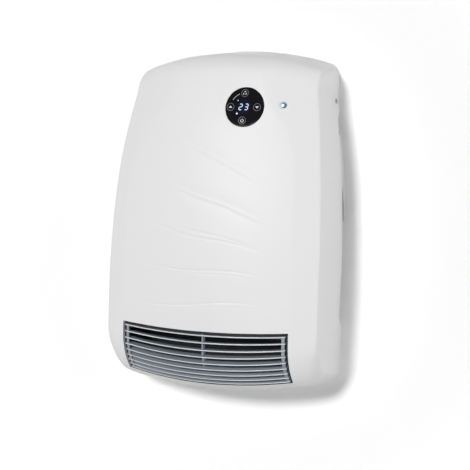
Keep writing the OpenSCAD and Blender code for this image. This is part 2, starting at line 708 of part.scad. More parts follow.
// Steel core of the shaded-pole motor, drawn about the fan axis
module core_2d() {
  difference() {
    translate([-25, -26]) square([50, 62]);
    circle(r = rotor_r + 0.5);
    translate([-14, 19.5]) square([28, 8.5]);
    for (s = [-1, 1]) {
      translate([s * motor_bolt, 0]) circle(r = screw_r + 0.3);
      translate([s * (rotor_r - 2.5), 8]) circle(r = 2);
    }
  }
}
module motor_core() seated() color([0.5, 0.51, 0.53])
  along_x(motor_x0, motor_x1) translate([fan_d, fan_z]) core_2d();
module motor_coil() seated() color([0.72, 0.38, 0.16]) {
  z0 = fan_z + 20;
  difference() {
    along_x(motor_x0 - 7, motor_x1 + 7) translate([fan_d - 10.5, z0 + 2]) offset(2) square([21, 20]);
    block(motor_x0 - seat, motor_x1 + seat, fan_d - 20, fan_d + 20, z0 + 7.7, z0 + 16.3);
  }
}
// Bearing bridge across one end of the motor
module bridge(x0, x1, face) {
  difference() {
    union() {
      rod(8, x0, x1, fan_d, fan_z);
      for (s = [-1, 1]) rod(4.5, x0, x1, fan_d + s * motor_bolt, fan_z);
      block(face, face + 2.5, fan_d - motor_bolt, fan_d + motor_bolt, fan_z - 4.5, fan_z + 4.5);
    }
    rod(5 + snug, x0 - 1, x1 + 1, fan_d, fan_z);
    for (s = [-1, 1]) rod(screw_r + 0.3, x0 - 1, x1 + 1, fan_d + s * motor_bolt, fan_z);
  }
}
module motor_brackets() seated() color([0.66, 0.67, 0.69]) {
  bridge(plate_right_x + plate_t + seat, motor_x0 - 0.1, plate_right_x + plate_t + seat + 1);
  bridge(motor_x1 + 0.1, motor_x1 + 9, motor_x1 + 6.5);
}
module bearing(x0) difference() {
  rod(5, x0, x0 + bearing_l, fan_d, fan_z);
  rod(shaft_r + running, x0 - 1, x0 + bearing_l + 1, fan_d, fan_z);
}
module motor_bearings() seated() color([0.72, 0.55, 0.3]) {
  bearing(motor_x0 - 8.5);
  bearing(motor_x1 + 3.5);
}
module motor_rotor() seated() color([0.6, 0.6, 0.62]) difference() {
  rod(rotor_r, motor_x0 + 0.5, motor_x1 - 0.5, fan_d, fan_z);
  rod(shaft_r + snug, motor_x0, motor_x1, fan_d, fan_z);
}
module motor_shaft() seated() color([0.8, 0.81, 0.83])
  rod(shaft_r, fan_x1 - 14, motor_x1 + 10.5, fan_d, fan_z);
module motor_screws() seated() color([0.7, 0.7, 0.72])
  for (s = [-1, 1]) {
    rod(screw_r, plate_right_x - 1.5, motor_x1 + 9.2, fan_d + s * motor_bolt, fan_z);
    rod(head_r, motor_x1 + 9.2, motor_x1 + 9.2 + head_h, fan_d + s * motor_bolt, fan_z);
    rod(head_r, plate_right_x - 1.6, plate_right_x - 0.1, fan_d + s * motor_bolt, fan_z);
  }

// Place children on the heating element: X along it, Y across it, Z with the air flow
module on_element() {
  translate([0, -element_c[0], element_c[1]]) rotate([180 - element_tilt, 0, 0]) children();
}
module element_fins() seated() color([0.78, 0.79, 0.8]) on_element() {
  rows = 3;
  bar = 2.6;
  pitch = element_w / rows;
  for (k = [0:rows])
    translate([-element_len / 2, -element_w / 2 + k * (element_w - bar) / rows, -element_t / 2])
      cube([element_len, bar, element_t]);
  for (i = [0:floor((element_len - 6) / fin_pitch)])
    translate([-element_len / 2 + 3 + i * fin_pitch, -element_w / 2 + 0.5, -element_t / 2 + 1])
      cube([0.8, element_w - 1, element_t - 2]);
}
module element_frame() seated() color([0.16, 0.16, 0.17]) on_element() {
  difference() {
    translate([-duct_half + 0.15, -element_w / 2 - 2.4, -element_t / 2 - 1])
      cube([2 * duct_half - 0.3, element_w + 4.8, element_t + 2]);
    translate([-element_len / 2 + 2, -element_w / 2 + 1.5, -element_t])
      cube([element_len - 4, element_w - 3, 2 * element_t]);
    translate([-element_len / 2 - seat, -element_w / 2 - seat, -element_t / 2 - seat])
      cube([element_len + 2 * seat, element_w + 2 * seat, element_t + 2 * seat]);
  }
}
module element_terminals() seated() color([0.8, 0.68, 0.35]) on_element()
  for (y = [-10, 2]) translate([-duct_half - 8, y, -2]) cube([8, 6.3, 0.8]);
module thermal_cutout() seated() color([0.15, 0.15, 0.16]) on_element()
  translate([-element_len / 2 - 6, 0, -element_t / 2 - 1.1]) mirror([0, 0, 1]) {
    cylinder(r = 7, h = 1.2);
    cylinder(r = 5.5, h = 7);
  }

module control_board() seated() color([0.1, 0.35, 0.2]) difference() {
  block(board_x - board_l / 2, board_x + board_l / 2, board_d + seat, board_d + seat + board_t,
    board_z - board_h / 2, board_z + board_h / 2);
  for (sx = [-1, 1], sz = [-1, 1])
    stud(screw_r + 0.2, board_d, board_d + 4,
      board_x + sx * (board_l / 2 - 5), board_z + sz * (board_h / 2 - 5));
}
// Depth of the board's component side
function top_of_board() = board_d + seat + board_t + 0.1;
module relays() seated() color([0.15, 0.3, 0.6])
  for (i = [0:1]) block(board_x - 36 + i * 23, board_x - 17 + i * 23, top_of_board(), top_of_board() + 15.5,
    board_z - 24, board_z - 8.5);
module power_supply() seated() color([0.2, 0.2, 0.21])
  block(board_x + 12, board_x + 40, top_of_board(), top_of_board() + 18, board_z - 6, board_z + 22);
module suppression_capacitor() seated() color([0.75, 0.65, 0.2])
  block(board_x - 34, board_x - 16, top_of_board(), top_of_board() + 12, board_z + 4, board_z + 12);
module terminal_block() seated() color([0.9, 0.9, 0.88]) difference() {
  block(block_x, block_x + 42, floor_d, floor_d + 16, block_z, block_z + 18);
  for (i = [0:3]) {
    stud(2.6, floor_d + 6, floor_d + 17, block_x + 6 + i * 10, block_z + 9);
    block(block_x + 3.5 + i * 10, block_x + 8.5 + i * 10, floor_d + 3, floor_d + 8, block_z - 1, block_z + 6);
  }
}
module cable_grommet() seated() color([0.1, 0.1, 0.1]) difference() {
  union() {
    stud(grommet_r - snug, base_d0 - 0.5, base_d1 + 3.4, grommet_x, grommet_z);
    stud(grommet_r + 2.5, base_d1 + 2.1, base_d1 + 4, grommet_x, grommet_z);
    stud(grommet_r + 1.8, base_d0 - 1.8, base_d0 - 0.1, grommet_x, grommet_z);
  }
  stud(grommet_r - 2.6, -1, base_d1 + 6, grommet_x, grommet_z);
}
module cord_clamp() seated() color([0.9, 0.9, 0.88]) difference() {
  block(grommet_x - 12, grommet_x + 12, floor_d, floor_d + 9, clamp_z, clamp_z + 8);
  translate([grommet_x, -floor_d - 1, clamp_z - 1]) cylinder(r = 3.6, h = 10);
}

module touch_lens() seated() color([0.03, 0.03, 0.035]) on_front(display_x, body_h - display_drop)
  translate([0, 0, -lens_t + seat]) cylinder(d = display_dia, h = lens_t, $fn = 96);
module display_board() seated() color([0.08, 0.25, 0.16]) on_front(display_x, body_h - display_drop)
  translate([0, 0, -lens_t - 10]) cylinder(d = display_dia + 2, h = board_t);
module digit_module() seated() color([0.05, 0.05, 0.06]) on_front(display_x, body_h - display_drop)
  translate([-12, -6, -lens_t - 8.3]) cube([24, 12, 8.1]);
module key_springs() seated() color([0.75, 0.76, 0.78]) on_front(display_x, body_h - display_drop)
  for (a = [0:90:270]) rotate(a) translate([16.5, 0, -lens_t - 8.3]) cylinder(r = 2.2, h = 8.2);
module display_holder() seated() color([0.9, 0.9, 0.9]) on_front(display_x, body_h - display_drop)
  translate([0, 0, -lens_t - 8.2]) difference() {
    cylinder(d = display_dia + 5, h = 3);
    translate([0, 0, -1]) cylinder(d = display_dia - 2, h = 5);
  }
module indicator_lens() seated() color([0.75, 0.85, 1.0]) on_front(lamp_x, body_h - lamp_drop) {
  translate([0, 0, -8]) cylinder(d = lamp_dia, h = 7.4);
  translate([0, 0, -9.5]) cylinder(d = lamp_dia + 3, h = 1.4);
}

module cover_screws() seated() color([0.7, 0.7, 0.72])
  for (p = cover_screw_spots) {
    stud(screw_r, base_d0 - 0.1, floor_d + 14, p[0], p[1]);
    stud(head_r, base_d0 - 0.1 - head_h, base_d0 - 0.1, p[0], p[1]);
  }
module side_screws() seated() color([0.7, 0.7, 0.72])
  both() {
    x = side_at(side_screw_z) - 1.3;
    rod(screw_r, x - 10, x + 0.1, side_screw_d, side_screw_z);
    rod(head_r, x + 0.1, x + 0.1 + 1, side_screw_d, side_screw_z);
  }
module board_screws() seated() color([0.7, 0.7, 0.72])
  for (sx = [-1, 1], sz = [-1, 1]) {
    x = board_x + sx * (board_l / 2 - 5);
    z = board_z + sz * (board_h / 2 - 5);
    stud(screw_r, board_d - 7, top_of_board() + 0.1, x, z);
    stud(head_r, top_of_board() + 0.1, top_of_board() + 0.1 + head_h, x, z);
  }
module end_plate_screws() seated() color([0.7, 0.7, 0.72])
  for (x = [-104, 70], z = [100, 160]) {
    stud(screw_r, base_d0 + 0.1, floor_d + plate_t + 0.1, x + end_foot(x), z);
    stud(head_r, floor_d + plate_t + 0.1, floor_d + plate_t + 0.1 + head_h, x + end_foot(x), z);
  }

front_shell();
rear_housing();
wall_plate();
intake_screens();
outlet_grille();
scroll_wall();
tongue_guide();
duct_cheeks();
fan_end_plate_left();
fan_end_plate_right();
fan_impeller();
fan_pivot();
pivot_bush();
bush_mount();
motor_core();
motor_coil();
motor_brackets();
motor_bearings();
motor_rotor();
motor_shaft();
motor_screws();
element_fins();
element_frame();
element_terminals();
thermal_cutout();
control_board();
relays();
power_supply();
suppression_capacitor();
terminal_block();
cable_grommet();
cord_clamp();
touch_lens();
display_board();
digit_module();
key_springs();
display_holder();
indicator_lens();
cover_screws();
side_screws();
board_screws();
end_plate_screws();
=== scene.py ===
"""Looks of a bathroom wall fan heater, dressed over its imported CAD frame.

The heater hangs on the wall plane Y = 0 and faces -Y. Sizes in the classes
below are millimetres, heights are counted from the heater's lowest point, and
everything is turned into the frame's metres when a mesh is made. Only the
finishes, the lamps and the backdrop are given in metres.
"""

from __future__ import annotations
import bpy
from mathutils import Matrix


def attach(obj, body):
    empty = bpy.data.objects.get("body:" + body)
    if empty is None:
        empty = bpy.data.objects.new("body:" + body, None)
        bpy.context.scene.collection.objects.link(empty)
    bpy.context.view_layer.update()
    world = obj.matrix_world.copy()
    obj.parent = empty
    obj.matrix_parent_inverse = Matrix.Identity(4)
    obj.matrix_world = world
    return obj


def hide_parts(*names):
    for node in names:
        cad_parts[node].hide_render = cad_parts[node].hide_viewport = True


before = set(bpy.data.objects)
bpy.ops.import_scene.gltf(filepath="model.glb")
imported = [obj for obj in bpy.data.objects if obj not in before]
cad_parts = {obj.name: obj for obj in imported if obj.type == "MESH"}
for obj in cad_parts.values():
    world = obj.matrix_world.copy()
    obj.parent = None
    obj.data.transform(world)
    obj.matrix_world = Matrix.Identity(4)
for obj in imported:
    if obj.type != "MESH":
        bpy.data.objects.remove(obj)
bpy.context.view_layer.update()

import logging
import math
from dataclasses import dataclass, field
from enum import Enum, IntEnum
from typing import Iterable, Sequence

import bmesh
import bpy
from mathutils import Matrix, Vector
from mathutils.kdtree import KDTree

log = logging.getLogger("heater")
logging.basicConfig(level=logging.INFO, format="%(name)s: %(message)s")

MM = 0.001  # metres in a millimetre
ORIGIN_HEIGHT = 215.0  # height of the frame's origin over the heater's lowest point
BODY = "heater"
DISPLAY_AT = (37.0, 317.0)
DIGITS_AT = (36.2, 317.0)
LAMP_AT = (80.6, 325.0)
SIDE_SCREW_AT = (6.0, 331.0)
WHITE = (1.0, 1.0, 1.0, 1.0)
MIX_COLOURS = (6, 7)  # a Mix node's colour inputs, which share their names with others
MIX_RESULT = 2  # and its colour output
Pair = tuple[float, float]
Triple = tuple[float, float, float]


def metres(x: float, depth: float, height: float) -> Vector:
    """Returns the frame point for a sideways place, a depth and a height in millimetres."""
    return Vector((x, -depth, height - ORIGIN_HEIGHT)) * MM


def ease(value: float, low: float, high: float) -> float:
    """Returns a smooth step from 0 at low to 1 at high."""
    share = min(1.0, max(0.0, (value - low) / (high - low)))
    return share * share * (3.0 - 2.0 * share)


def on_arc(centre: Pair, radius: float, angle: float) -> Pair:
    """Returns the point of an arc at an angle in radians."""
    return (centre[0] + radius * math.cos(angle), centre[1] + radius * math.sin(angle))


def spaced(stops: Sequence[tuple[float, int]], end: float) -> list[float]:
    """Returns a row of values, evenly spaced from each stop to the next.

    Args:
        stops: Values where the spacing changes, each with its number of steps to the next.
        end: The last value.

    Returns:
        The values, with the last one.
    """
    row: list[float] = []
    for (start, count), (stop, _) in zip(stops, [*stops[1:], (end, 0)]):
        row += [start + (stop - start) * i / count for i in range(count)]
    return row + [end]


# ---------------------------------------------------------------- shader maths


class Signal:
    """A number or colour socket that takes part in Python arithmetic.

    Each operator adds the Math node that it stands for, so a mask can be
    written as ``1 - (noise * 0.4 + 0.2)``.
    """

    def __init__(self, graph: Graph, socket: bpy.types.NodeSocket) -> None:
        """Wraps one output socket of a graph.

        Args:
            graph: The graph that new Math nodes go into.
            socket: The output socket to work with.
        """
        self.graph = graph
        self.socket = socket

    def _math(self, operation: str, *values: Signal | float) -> Signal:
        """Adds a Math node.

        Args:
            operation: The node's operation.
            values: What feeds its inputs, in order.

        Returns:
            The node's result.
        """
        node = self.graph.node("ShaderNodeMath", {"operation": operation}, *values)
        return Signal(self.graph, node.outputs[0])

    def __add__(self, other: Signal | float) -> Signal:
        """Returns self + other."""
        return self._math("ADD", self, other)

    def __radd__(self, other: float) -> Signal:
        """Returns other + self."""
        return self._math("ADD", other, self)

    def __sub__(self, other: Signal | float) -> Signal:
        """Returns self - other."""
        return self._math("SUBTRACT", self, other)

    def __rsub__(self, other: float) -> Signal:
        """Returns other - self."""
        return self._math("SUBTRACT", other, self)

    def __mul__(self, other: Signal | float) -> Signal:
        """Returns self * other."""
        return self._math("MULTIPLY", self, other)

    def __rmul__(self, other: float) -> Signal:
        """Returns other * self."""
        return self._math("MULTIPLY", other, self)

    def sine(self) -> Signal:
        """Returns the sine of self."""
        return self._math("SINE", self)

    def highest(self, other: Signal) -> Signal:
        """Returns the greater of self and other."""
        return self._math("MAXIMUM", self, other)

    def clamped(self, low: float, high: float) -> Signal:
        """Maps self from a range to 0..1 with a smooth step.

        Args:
            low: What becomes 0.
            high: What becomes 1.

        Returns:
            The mapped value.
        """
        smooth = {"interpolation_type": "SMOOTHSTEP"}
        node = self.graph.node("ShaderNodeMapRange", smooth, Value=self, From_Min=low, From_Max=high)
        return Signal(self.graph, node.outputs["Result"])


class Graph:
    """A node tree under construction."""

    def __init__(self, tree: bpy.types.NodeTree) -> None:
        """Wraps a tree.

        Args:
            tree: The tree that new nodes go into.
        """
        self.tree = tree

    def node(
        self, kind: str, settings: dict | None = None, *values: object, **inputs: object
    ) -> bpy.types.Node:
        """Adds a node of any kind.

        Args:
            kind: The node's type.
            settings: Attributes set before its sockets, such as an operation.
            values: What feeds its inputs in order, where their names repeat.
            inputs: Socket name, with underscores for spaces, to what feeds it.

        Returns:
            The new node.
        """
        node = self.tree.nodes.new(kind)
        for key, value in (settings or {}).items():
            setattr(node, key, value)
        for socket, value in zip(node.inputs, values):
            self.feed(socket, value)
        for key, value in inputs.items():
            self.feed(node.inputs[key.replace("_", " ")], value)
        return node

    def feed(self, socket: bpy.types.NodeSocket, value: object) -> None:
        """Feeds a socket by a link or with a plain value.

        Args:
            socket: The input socket.
            value: A Signal, a node whose first output is linked, or a value.
        """
        if isinstance(value, Signal):
            self.tree.links.new(value.socket, socket)
        elif isinstance(value, bpy.types.Node):
            self.tree.links.new(value.outputs[0], socket)
        else:
            socket.default_value = value

    def ray(self, kind: str) -> Signal:
        """Returns 1 for rays of a kind, such as Camera or Shadow."""
        return Signal(self, self.node("ShaderNodeLightPath").outputs[f"Is {kind} Ray"])

    def seen(self) -> Signal:
        """Returns 1 for camera, glossy and transmission rays, and 0 for all others."""
        return (self.ray("Camera") + self.ray("Glossy") + self.ray("Transmission")).clamped(0.0, 1.0)


class GeometryGraph(Graph):
    """A Geometry Nodes tree with named inputs."""

    def __init__(self, name: str) -> None:
        """Starts an empty tree.

        Args:
            name: The tree's name.
        """
        super().__init__(bpy.data.node_groups.new(name, "GeometryNodeTree"))

    def entry(self, label: str, kind: str, value: object = None) -> Signal:
        """Adds a named input.

        Args:
            label: Its name.
            kind: Its socket type, such as Geometry or Float.
            value: Its default value, if it has one.

        Returns:
            What comes in by it.
        """
        socket = self.tree.interface.new_socket(label, in_out="INPUT", socket_type=f"NodeSocket{kind}")
        if value is not None:
            socket.default_value = value
        return Signal(self, self.node("NodeGroupInput").outputs[label])

    def stored(self, label: str) -> Signal:
        """Returns the vectors stored on the points under a name."""
        node = self.node("GeometryNodeInputNamedAttribute", {"data_type": "FLOAT_VECTOR"}, Name=label)
        return Signal(self, node.outputs["Attribute"])

    def finished(self, geometry: bpy.types.Node, material: bpy.types.Material) -> bpy.types.NodeTree:
        """Ends the tree with real geometry in one material.

        Args:
            geometry: The last node that shapes it.
            material: Its finish.

        Returns:
            The tree.
        """
        self.tree.interface.new_socket("Result", in_out="OUTPUT", socket_type="NodeSocketGeometry")
        solid = self.node("GeometryNodeRealizeInstances", Geometry=geometry)
        paint = self.node("GeometryNodeSetMaterial", Geometry=solid, Material=material)
        self.node("NodeGroupOutput", Result=paint)
        return self.tree


class Shader(Graph):
    """One material under construction, with its Principled shader."""

    def __init__(self, name: str) -> None:
        """Starts an empty material.

        Args:
            name: The material's name.
        """
        self.material = bpy.data.materials.new(name)
        self.material.use_nodes = True
        super().__init__(self.material.node_tree)
        self.tree.nodes.clear()
        self.principled = self.node("ShaderNodeBsdfPrincipled")
        self.output = self.node("ShaderNodeOutputMaterial", Surface=self.principled)

    def set(self, **values: object) -> None:
        """Feeds sockets of the Principled shader by name, with underscores for spaces."""
        for key, value in values.items():
            self.feed(self.principled.inputs[key.replace("_", " ")], value)

    def place(self) -> Signal:
        """Returns the point on the object, in metres."""
        return Signal(self, self.node("ShaderNodeTexCoord").outputs["Object"])

    def noise(self, scale: float, detail: float = 2.0, stretch: Triple = (1, 1, 1)) -> Signal:
        """Returns fractal noise over the object.

        Args:
            scale: Features in a metre, about.
            detail: Octaves.
            stretch: Factors on the three axes, for drawn or brushed looks.

        Returns:
            The noise, from 0 to 1.
        """
        mapped = self.node("ShaderNodeMapping", Vector=self.place(), Scale=stretch)
        node = self.node("ShaderNodeTexNoise", Vector=mapped, Scale=scale, Detail=detail)
        return Signal(self, node.outputs["Fac"])

    def wave(self, axis: str, pitch: float) -> Signal:
        """Returns a sine wave along one axis of the object, with its pitch in metres."""
        split = self.node("ShaderNodeSeparateXYZ", Vector=self.place())
        return (Signal(self, split.outputs[axis]) * (2 * math.pi / pitch)).sine()

    def distance(self, point: Triple = (0.0, 0.0, 0.0)) -> Signal:
        """Measures how far the surface is from a point.

        Args:
            point: The point on the object, in metres.

        Returns:
            The distance in metres.
        """
        away = self.node("ShaderNodeVectorMath", {"operation": "DISTANCE"}, self.place(), point)
        return Signal(self, away.outputs["Value"])

    def blend(self, share: Signal, low: Triple, high: Triple) -> Signal:
        """Blends two colours.

        Args:
            share: Share of the second colour.
            low: The first colour.
            high: The second colour.

        Returns:
            The colour between them.
        """
        node = self.node("ShaderNodeMix", {"data_type": "RGBA"}, Factor=share)
        for index, colour in zip(MIX_COLOURS, (low, high)):
            node.inputs[index].default_value = (*colour, 1.0)
        return Signal(self, node.outputs[MIX_RESULT])

    def bump(self, height: Signal, distance: float) -> None:
        """Feeds the shader's normal from a height, with its depth in metres."""
        self.set(Normal=self.node("ShaderNodeBump", Height=height, Distance=distance))


@dataclass(frozen=True)
class Finish:
    """A procedural finish; each kind paints a shader in its own way."""

    name: str
    tone: Triple

    def build(self) -> bpy.types.Material:
        """Makes the material.

        Returns:
            The painted material.
        """
        shader = Shader(self.name)
        self.paint(shader)
        return shader.material

    def toned(self, share: float) -> Triple:
        """Returns a share of the tone."""
        return tuple(c * share for c in self.tone)


@dataclass(frozen=True)
class Moulded(Finish):
    """Injection-moulded plastic: a soft skin with slight colour and gloss drift."""

    rough: float = 0.35
    grain: float = 0.00002
    grain_scale: float = 900.0
    coat: float = 0.0
    coat_rough: float = 0.08
    drift: float = 0.03

    def paint(self, shader: Shader) -> None:
        """Drifts the colour slowly and the gloss finely.

        Args:
            shader: The shader to feed.
        """
        cloud, fine = shader.noise(14.0, detail=3.0), shader.noise(self.grain_scale)
        shader.set(Base_Color=shader.blend(cloud, self.toned(1 - self.drift), self.tone))
        shader.set(Roughness=self.rough * (0.92 + 0.16 * fine))
        shader.set(Coat_Weight=self.coat, Coat_Roughness=self.coat_rough)
        shader.bump(fine, self.grain)


@dataclass(frozen=True)
class CoverPlastic(Finish):
    """White gloss plastic, with the lit indicator's light painted into its colour as a faint blue glow
    round it.
    """

    painted_glow: Triple
    middle: Triple
    inner: float = 0.003
    reach: float = 0.0062
    rough: float = 0.48
    grain: float = 0.000006

    def paint(self, shader: Shader) -> None:
        """Paints the indicator's glow into the plastic's colour near it and gives the plastic a very
        fine grain.

        Args:
            shader: The shader to feed.
        """
        # painted glow: the colour turns light blue near the indicator, as if lit by it
        near = 1 - shader.distance(self.middle).clamped(self.inner, self.reach)
        fine = shader.noise(700.0)
        shader.set(Base_Color=shader.blend(near, self.tone, self.painted_glow))
        shader.set(Roughness=self.rough * (0.94 + 0.12 * fine), Specular_IOR_Level=0.5)
        shader.bump(fine, self.grain)


@dataclass(frozen=True)
class SheetMetal(Finish):
    """Rolled or plated metal with fine streaks along one axis."""

    rough: float = 0.35
    streak: Triple = (4, 40, 40)
    metallic: float = 1.0
    relief: float = 0.00003

    def paint(self, shader: Shader) -> None:
        """Draws the streaks in tone, gloss and height.

        Args:
            shader: The shader to feed.
        """
        streaks = shader.noise(30.0, detail=4.0, stretch=self.streak)
        shader.set(Base_Color=shader.blend(streaks, self.toned(0.82), self.tone))
        shader.set(Roughness=self.rough * (0.7 + 0.6 * streaks), Metallic=self.metallic)
        shader.bump(streaks, self.relief)


@dataclass(frozen=True)
class WoundWire(Finish):
    """Varnished wire wound in fine turns about one axis."""

    pitch: float = 0.0008
    relief: float = 0.0002

    def paint(self, shader: Shader) -> None:
        """Draws the turns, with painted shade where they meet.

        Args:
            shader: The shader to feed.
        """
        turns = shader.wave("X", self.pitch) * 0.5 + 0.5
        # painted shade: darker in the valleys between turns
        shader.set(Base_Color=shader.blend(turns, self.toned(0.35), self.tone))
        shader.set(Metallic=0.8, Roughness=0.3)
        shader.bump(turns, self.relief)


@dataclass(frozen=True)
class Woven(Finish):
    """Fine filter mesh as crossed strands."""

    pitch: float = 0.0012
    relief: float = 0.0003

    def paint(self, shader: Shader) -> None:
        """Draws the strands, with painted shade in the gaps between them.

        Args:
            shader: The shader to feed.
        """
        strands = shader.wave("Z", self.pitch).highest(shader.wave("Y", self.pitch)).clamped(0.2, 0.8)
        # painted shade: darker in the gaps between the strands
        shader.set(Base_Color=shader.blend(strands, self.toned(0.15), self.tone), Roughness=0.6)
        shader.bump(strands, self.relief)


@dataclass(frozen=True)
class Laminated(Finish):
    """Stack of thin steel sheets seen on edge."""

    pitch: float = 0.001
    relief: float = 0.0001

    def paint(self, shader: Shader) -> None:
        """Draws the sheets' edges, with patches of wear.

        Args:
            shader: The shader to feed.
        """
        sheets = shader.wave("X", self.pitch) * 0.5 + 0.5
        patches = shader.noise(60.0, detail=4.0)
        shader.set(Base_Color=shader.blend(sheets * patches, self.toned(0.55), self.tone))
        shader.set(Metallic=0.9, Roughness=0.35 + 0.25 * patches)
        shader.bump(sheets, self.relief)


@dataclass(frozen=True)
class SolderMask(Finish):
    """Circuit board: green mask with copper tracks under it."""

    cells: float = 140.0
    relief: float = 0.00005

    def paint(self, shader: Shader) -> None:
        """Draws the tracks as the edges of irregular cells.

        Args:
            shader: The shader to feed.
        """
        edges = {"feature": "DISTANCE_TO_EDGE"}
        cells = shader.node("ShaderNodeTexVoronoi", edges, Vector=shader.place(), Scale=self.cells)
        tracks = Signal(shader, cells.outputs["Distance"]).clamped(0.03, 0.06)
        bright = tuple(c + 0.02 for c in self.toned(1.9))
        shader.set(Base_Color=shader.blend(tracks, bright, self.tone), Roughness=0.25)
        shader.bump(1 - tracks, self.relief)


@dataclass(frozen=True)
class DarkLens(Finish):
    """Polished black lens, with the lit digits' light painted round them as a faint blue glow."""

    middle: Triple
    painted_digit_glow: Triple = (0.004, 0.005, 0.028)
    inner: float = 0.004
    reach: float = 0.011

    def paint(self, shader: Shader) -> None:
        """Clouds the black a little and paints a glow of the digits' light on it near them.

        Args:
            shader: The shader to feed.
        """
        cloud = shader.noise(40.0)
        # painted glow: the lens emits a faint blue near the digits
        near = 1 - shader.distance(self.middle).clamped(self.inner, self.reach)
        shader.set(Base_Color=shader.blend(cloud, self.tone, self.toned(1.5)))
        shader.set(Roughness=0.05 + 0.03 * cloud, Specular_IOR_Level=0.06)
        shader.set(Emission_Color=shader.blend(near, (0.0, 0.0, 0.0), self.painted_digit_glow), Emission_Strength=1.0)


@dataclass(frozen=True)
class Glow(Finish):
    """Light that shines through a window, slightly uneven over its strokes."""

    strength: float = 1.0

    def paint(self, shader: Shader) -> None:
        """Lights the strokes over a dark ground.

        Args:
            shader: The shader to feed.
        """
        cloud = shader.noise(500.0, detail=1.0)
        shader.set(Base_Color=(0.02, 0.02, 0.03, 1.0), Roughness=0.3)
        shader.set(Emission_Color=shader.blend(cloud, self.toned(0.8), self.tone))
        shader.set(Emission_Strength=self.strength)


# ------------------------------------------------------------------ mesh tools


def linked(name: str, data: bpy.types.ID) -> bpy.types.Object:
    """Puts an object of some data into the scene.

    Args:
        name: Its name.
        data: Its mesh, lamp or camera.

    Returns:
        The new object.
    """
    obj = bpy.data.objects.new(name, data)
    bpy.context.scene.collection.objects.link(obj)
    return obj


def piece(
    name: str, mesh: bpy.types.Mesh, slot: str, *finishes: bpy.types.Material
) -> bpy.types.Object:
    """Puts a mesh into the scene as a piece of the object.

    Args:
        name: The piece's name.
        mesh: Its mesh, already in the frame.
        slot: The record's material slot; not used.
        finishes: Its materials, in the order of its faces' indices.

    Returns:
        The new object.
    """
    mesh.name = name
    obj = linked(name, mesh)
    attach(obj, BODY)
    if mesh.materials:
        mesh.materials.clear()
    for finish in finishes:
        mesh.materials.append(finish)
    log.info("piece %s: %d faces on %s", name, len(mesh.polygons), BODY)
    return obj


def mesh_from(
    name: str, points: Iterable[Sequence[float]], faces: Iterable[Iterable[int]]
) -> bpy.types.Mesh:
    """Makes a mesh from points and faces.

    Args:
        name: Its name.
        points: Its points, in metres.
        faces: Its faces, as indices of points.

    Returns:
        The mesh.
    """
    mesh = bpy.data.meshes.new(name)
    mesh.from_pydata([tuple(p) for p in points], [], [tuple(f) for f in faces])
    mesh.update()
    return mesh


def settled(obj: bpy.types.Object) -> bpy.types.Mesh:
    """Works an object's modifiers into a plain mesh and clears them.

    Args:
        obj: The object.

    Returns:
        The plain mesh.
    """
    bpy.context.view_layer.update()
    graph = bpy.context.evaluated_depsgraph_get()
    mesh = bpy.data.meshes.new_from_object(obj.evaluated_get(graph))
    obj.modifiers.clear()
    return mesh


def outward(work: bmesh.types.BMesh, name: str) -> bpy.types.Mesh:
    """Turns the faces of a bmesh outwards, makes a mesh of it and frees it.

    Args:
        work: The bmesh.
        name: The mesh's name.

    Returns:
        The mesh.
    """
    bmesh.ops.recalc_face_normals(work, faces=work.faces)
    mesh = bpy.data.meshes.new(name)
    work.to_mesh(mesh)
    work.free()
    return mesh


def loft(
    work: bmesh.types.BMesh, rings: Sequence[Sequence[bmesh.types.BMVert]], loop: bool = False
) -> list[bmesh.types.BMFace]:
    """Skins a row of rings that have equally many vertices.

    Args:
        work: The mesh that they are in.
        rings: The rings, in order.
        loop: Whether the last ring joins the first; if not, a face closes each end.

    Returns:
        The new faces.
    """
    faces = []
    for near, far in zip(rings, [*rings[1:], rings[0]] if loop else rings[1:]):
        for i in range(len(near)):
            j = (i + 1) % len(near)
            faces.append(work.faces.new((near[i], near[j], far[j], far[i])))
    if not loop:
        faces += [work.faces.new(rings[0]), work.faces.new(rings[-1])]
    return faces


def turned(
    name: str,
    profile: Sequence[Pair],
    count: int,
    where: Matrix = Matrix.Identity(4),
    offset: Pair = (0.0, 0.0),
) -> bpy.types.Mesh:
    """Returns a closed round mesh.

    Args:
        name: The mesh's name.
        profile: Its half section of (radius, height), from the axis on; an end that
            isn't on the axis is closed by one flat face.
        count: Its number of sides.
        where: The place whose Z axis it is turned about.
        offset: How far its axis stands from that place.

    Returns:
        The mesh, in metres.
    """
    work = bmesh.new()
    turns = [2 * math.pi * i / count for i in range(count)]
    rings = []
    for r, h in profile:
        around = [Vector((*on_arc(offset, r, a), h)) * MM for a in turns]
        rings.append([work.verts.new(where @ spot) for spot in around])
    loft(work, rings)
    bmesh.ops.remove_doubles(work, verts=work.verts, dist=1e-7)
    return outward(work, name)


def cut_by(obj: bpy.types.Object, cutters: Sequence[bpy.types.Object]) -> bpy.types.Mesh:
    """Takes cutters out of an object, and removes them and the object.

    Args:
        obj: The object, with any modifiers that come first.
        cutters: What is cut away.

    Returns:
        The cut mesh.
    """
    for cutter in cutters:
        cut = obj.modifiers.new("opening", "BOOLEAN")
        cut.operation = "DIFFERENCE"
        cut.object = cutter
        cut.solver = "EXACT"
    mesh = settled(obj)
    for other in [obj, *cutters]:
        bpy.data.objects.remove(other)
    return mesh


def softened(mesh: bpy.types.Mesh, limit: float) -> bpy.types.Mesh:
    """Shades a mesh smooth, except at its sharp edges.

    Args:
        mesh: The mesh.
        limit: The angle of a sharp edge, in degrees.

    Returns:
        The same mesh.
    """
    for polygon in mesh.polygons:
        polygon.use_smooth = True
    mesh.set_sharp_from_angle(angle=math.radians(limit))
    return mesh


